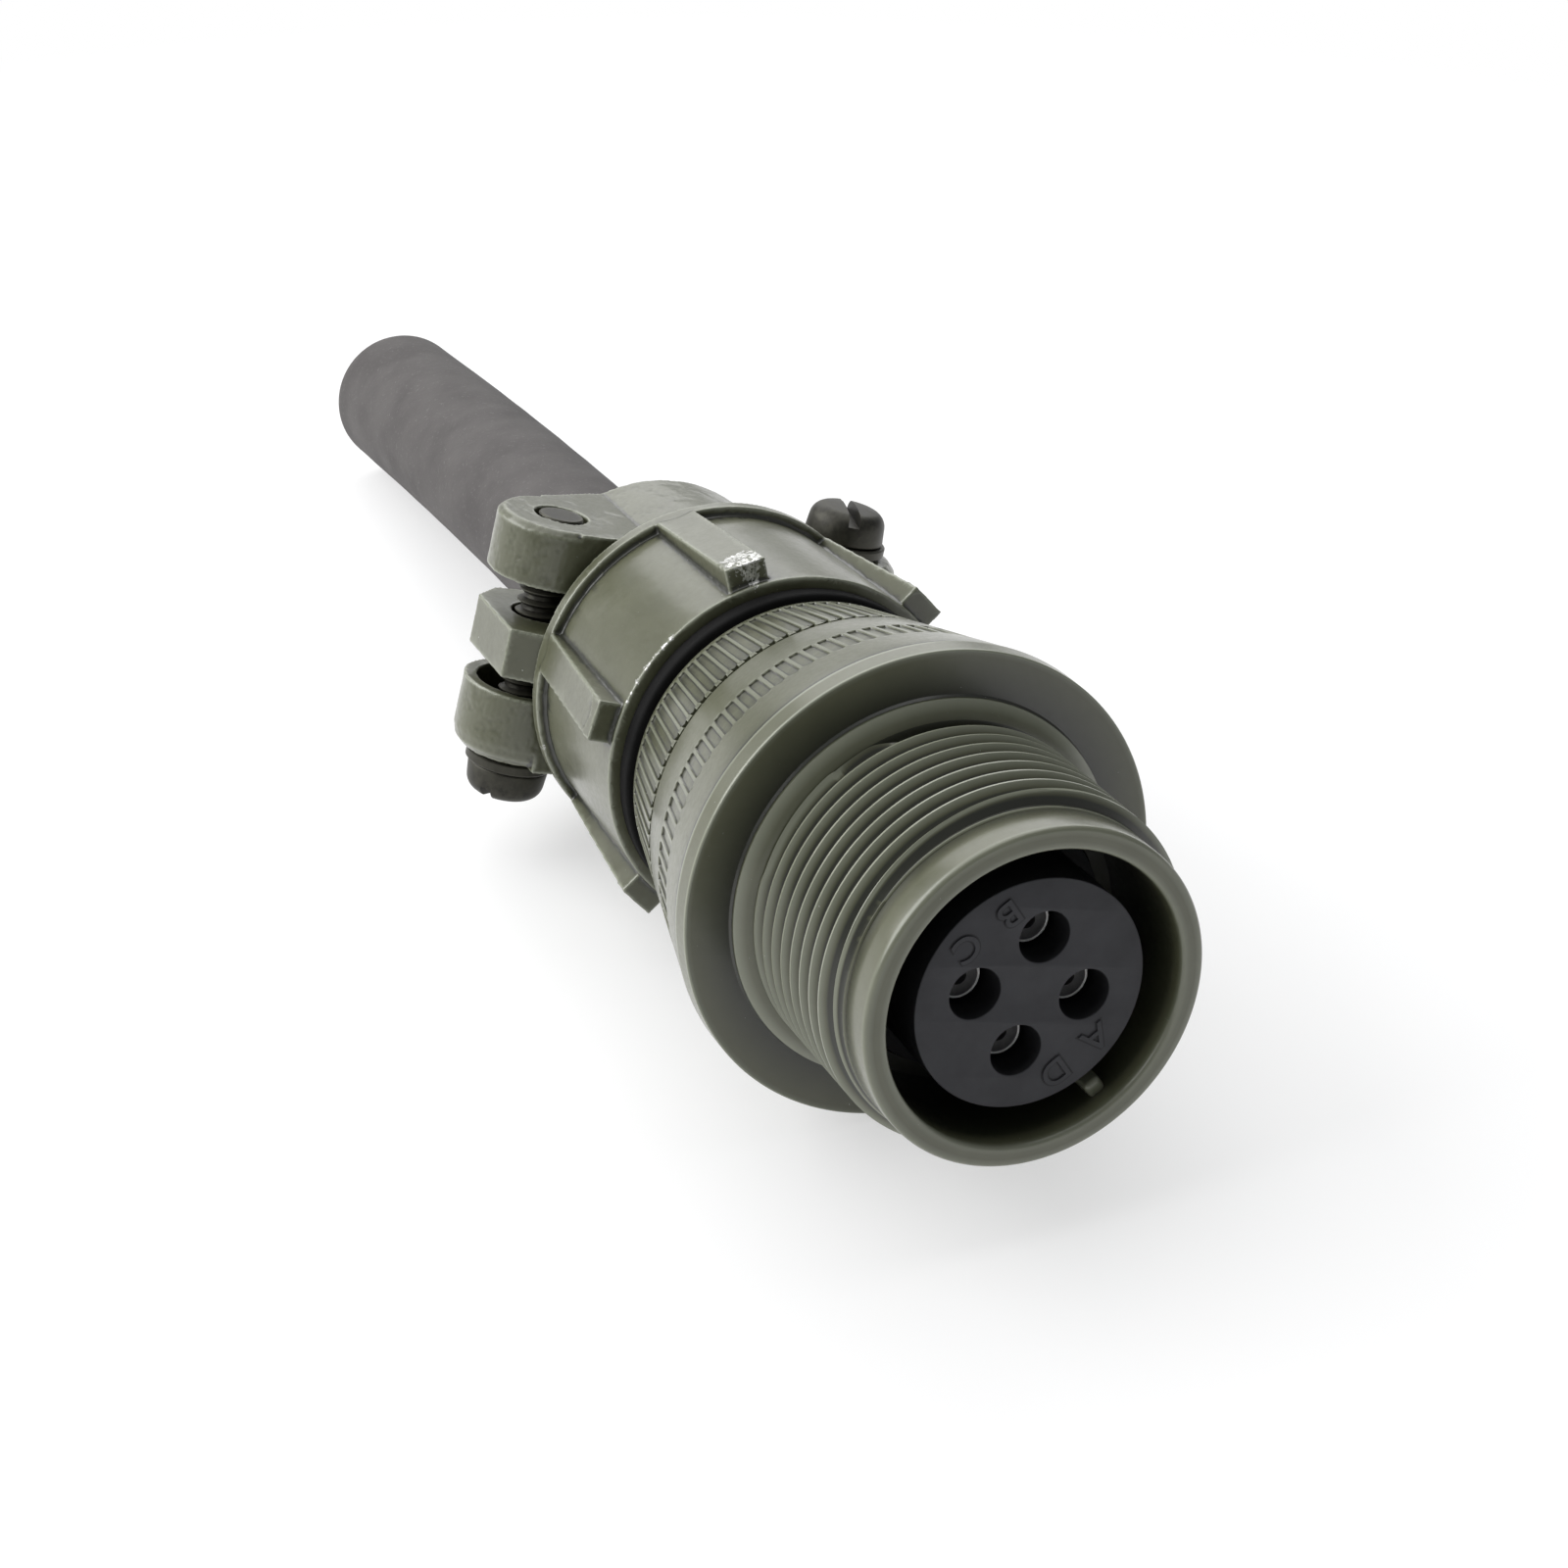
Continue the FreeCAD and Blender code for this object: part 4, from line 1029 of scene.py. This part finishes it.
def make_floor():
    """Pale floor that keeps the plug's shadow and turns plain white away from it."""
    bm = bmesh.new()
    bmesh.ops.create_grid(bm, x_segments=1, y_segments=1, size=FLOOR_SIZE)
    mesh = bpy.data.meshes.new("floor")
    bm.to_mesh(mesh)
    bm.free()
    floor = new_object("floor", mesh)
    floor.location.z = -0.00005
    make = Nodes("pale_floor")
    make.set(Base_Color=(0.93, 0.93, 0.93, 1.0), Roughness=0.9, Specular_IOR_Level=0.2)
    glow = make.add("ShaderNodeEmission", in_Color=(1.0, 1.0, 1.0, 1.0), in_Strength=1.0)
    away = make.add("ShaderNodeVectorMath", operation="LENGTH", in_Vector=make.coordinates)
    far = make.ramp(make.math("MULTIPLY", away.outputs["Value"], 4.0), (0.1, 0.45), (0.75, 1.0))
    path = make.add("ShaderNodeLightPath")
    seen = make.math("MAXIMUM", path.outputs["Is Camera Ray"], path.outputs["Is Glossy Ray"])
    blend = make.add("ShaderNodeMixShader")
    make.put(blend.inputs[0], make.math("MULTIPLY", far, seen))
    make.put(blend.inputs[1], make.shader.outputs[0])
    make.put(blend.inputs[2], glow.outputs[0])
    make.put(make.tree.nodes["Material Output"].inputs["Surface"], blend.outputs[0])
    mesh.materials.append(make.material)


def make_world():
    """Even pale surroundings, plain white where the camera sees them."""
    world = bpy.data.worlds.new("studio")
    bpy.context.scene.world = world
    world.use_nodes = True
    tree = world.node_tree
    shade = tree.nodes["Background"]
    shade.inputs["Color"].default_value = (0.93, 0.96, 1.0, 1.0)
    shade.inputs["Strength"].default_value = 0.22
    white = tree.nodes.new("ShaderNodeBackground")
    white.inputs["Color"].default_value = (1.0, 1.0, 1.0, 1.0)
    white.inputs["Strength"].default_value = 1.0
    path = tree.nodes.new("ShaderNodeLightPath")
    blend = tree.nodes.new("ShaderNodeMixShader")
    tree.links.new(path.outputs["Is Camera Ray"], blend.inputs[0])
    tree.links.new(shade.outputs[0], blend.inputs[1])
    tree.links.new(white.outputs[0], blend.inputs[2])
    tree.links.new(blend.outputs[0], tree.nodes["World Output"].inputs["Surface"])


def make_lamp(name, place, target, size, watts):
    """Soft square lamp at a place, facing a target, in metres."""
    light = bpy.data.lights.new(name, "AREA")
    light.shape = "RECTANGLE"
    light.size, light.size_y = size
    light.energy = watts
    lamp = new_object(name, light)
    lamp.location = place
    lamp.rotation_euler = (Vector(target) - Vector(place)).to_track_quat("-Z", "Y").to_euler()


# The camera is given from the centre of the lip: how far along the plug, to the side and up
CAMERA_FROM_LIP = Vector((-124.3, 68.8, 95.2))
CAMERA_BEARING = 113.4
CAMERA_DIP = 29.98
LENS = 72.0


def make_camera():
    """Camera at the photograph's angle: a long lens that looks down on the mouth."""
    data = bpy.data.cameras.new("camera")
    data.lens = LENS
    data.sensor_width = 36.0
    data.clip_start = 0.01
    camera = new_object("camera", data)
    camera.location = PLUG.translation + CAMERA_FROM_LIP * MM
    camera.rotation_euler = (math.radians(90 - CAMERA_DIP), 0, -math.radians(CAMERA_BEARING))
    bpy.context.scene.camera = camera


make_floor()
make_world()
make_lamp("overhead", (0.22, -0.02, 0.72), (0, 0, 0), (0.9, 0.9), 4.2)
make_lamp("behind", (0.62, -0.27, 0.42), (0, 0, 0.01), (0.9, 0.6), 2.9)
make_lamp("left", (0.24, 0.58, 0.42), (0, 0, 0.01), (0.9, 0.6), 7.2)
make_camera()
bpy.context.scene.view_settings.view_transform = "Standard"
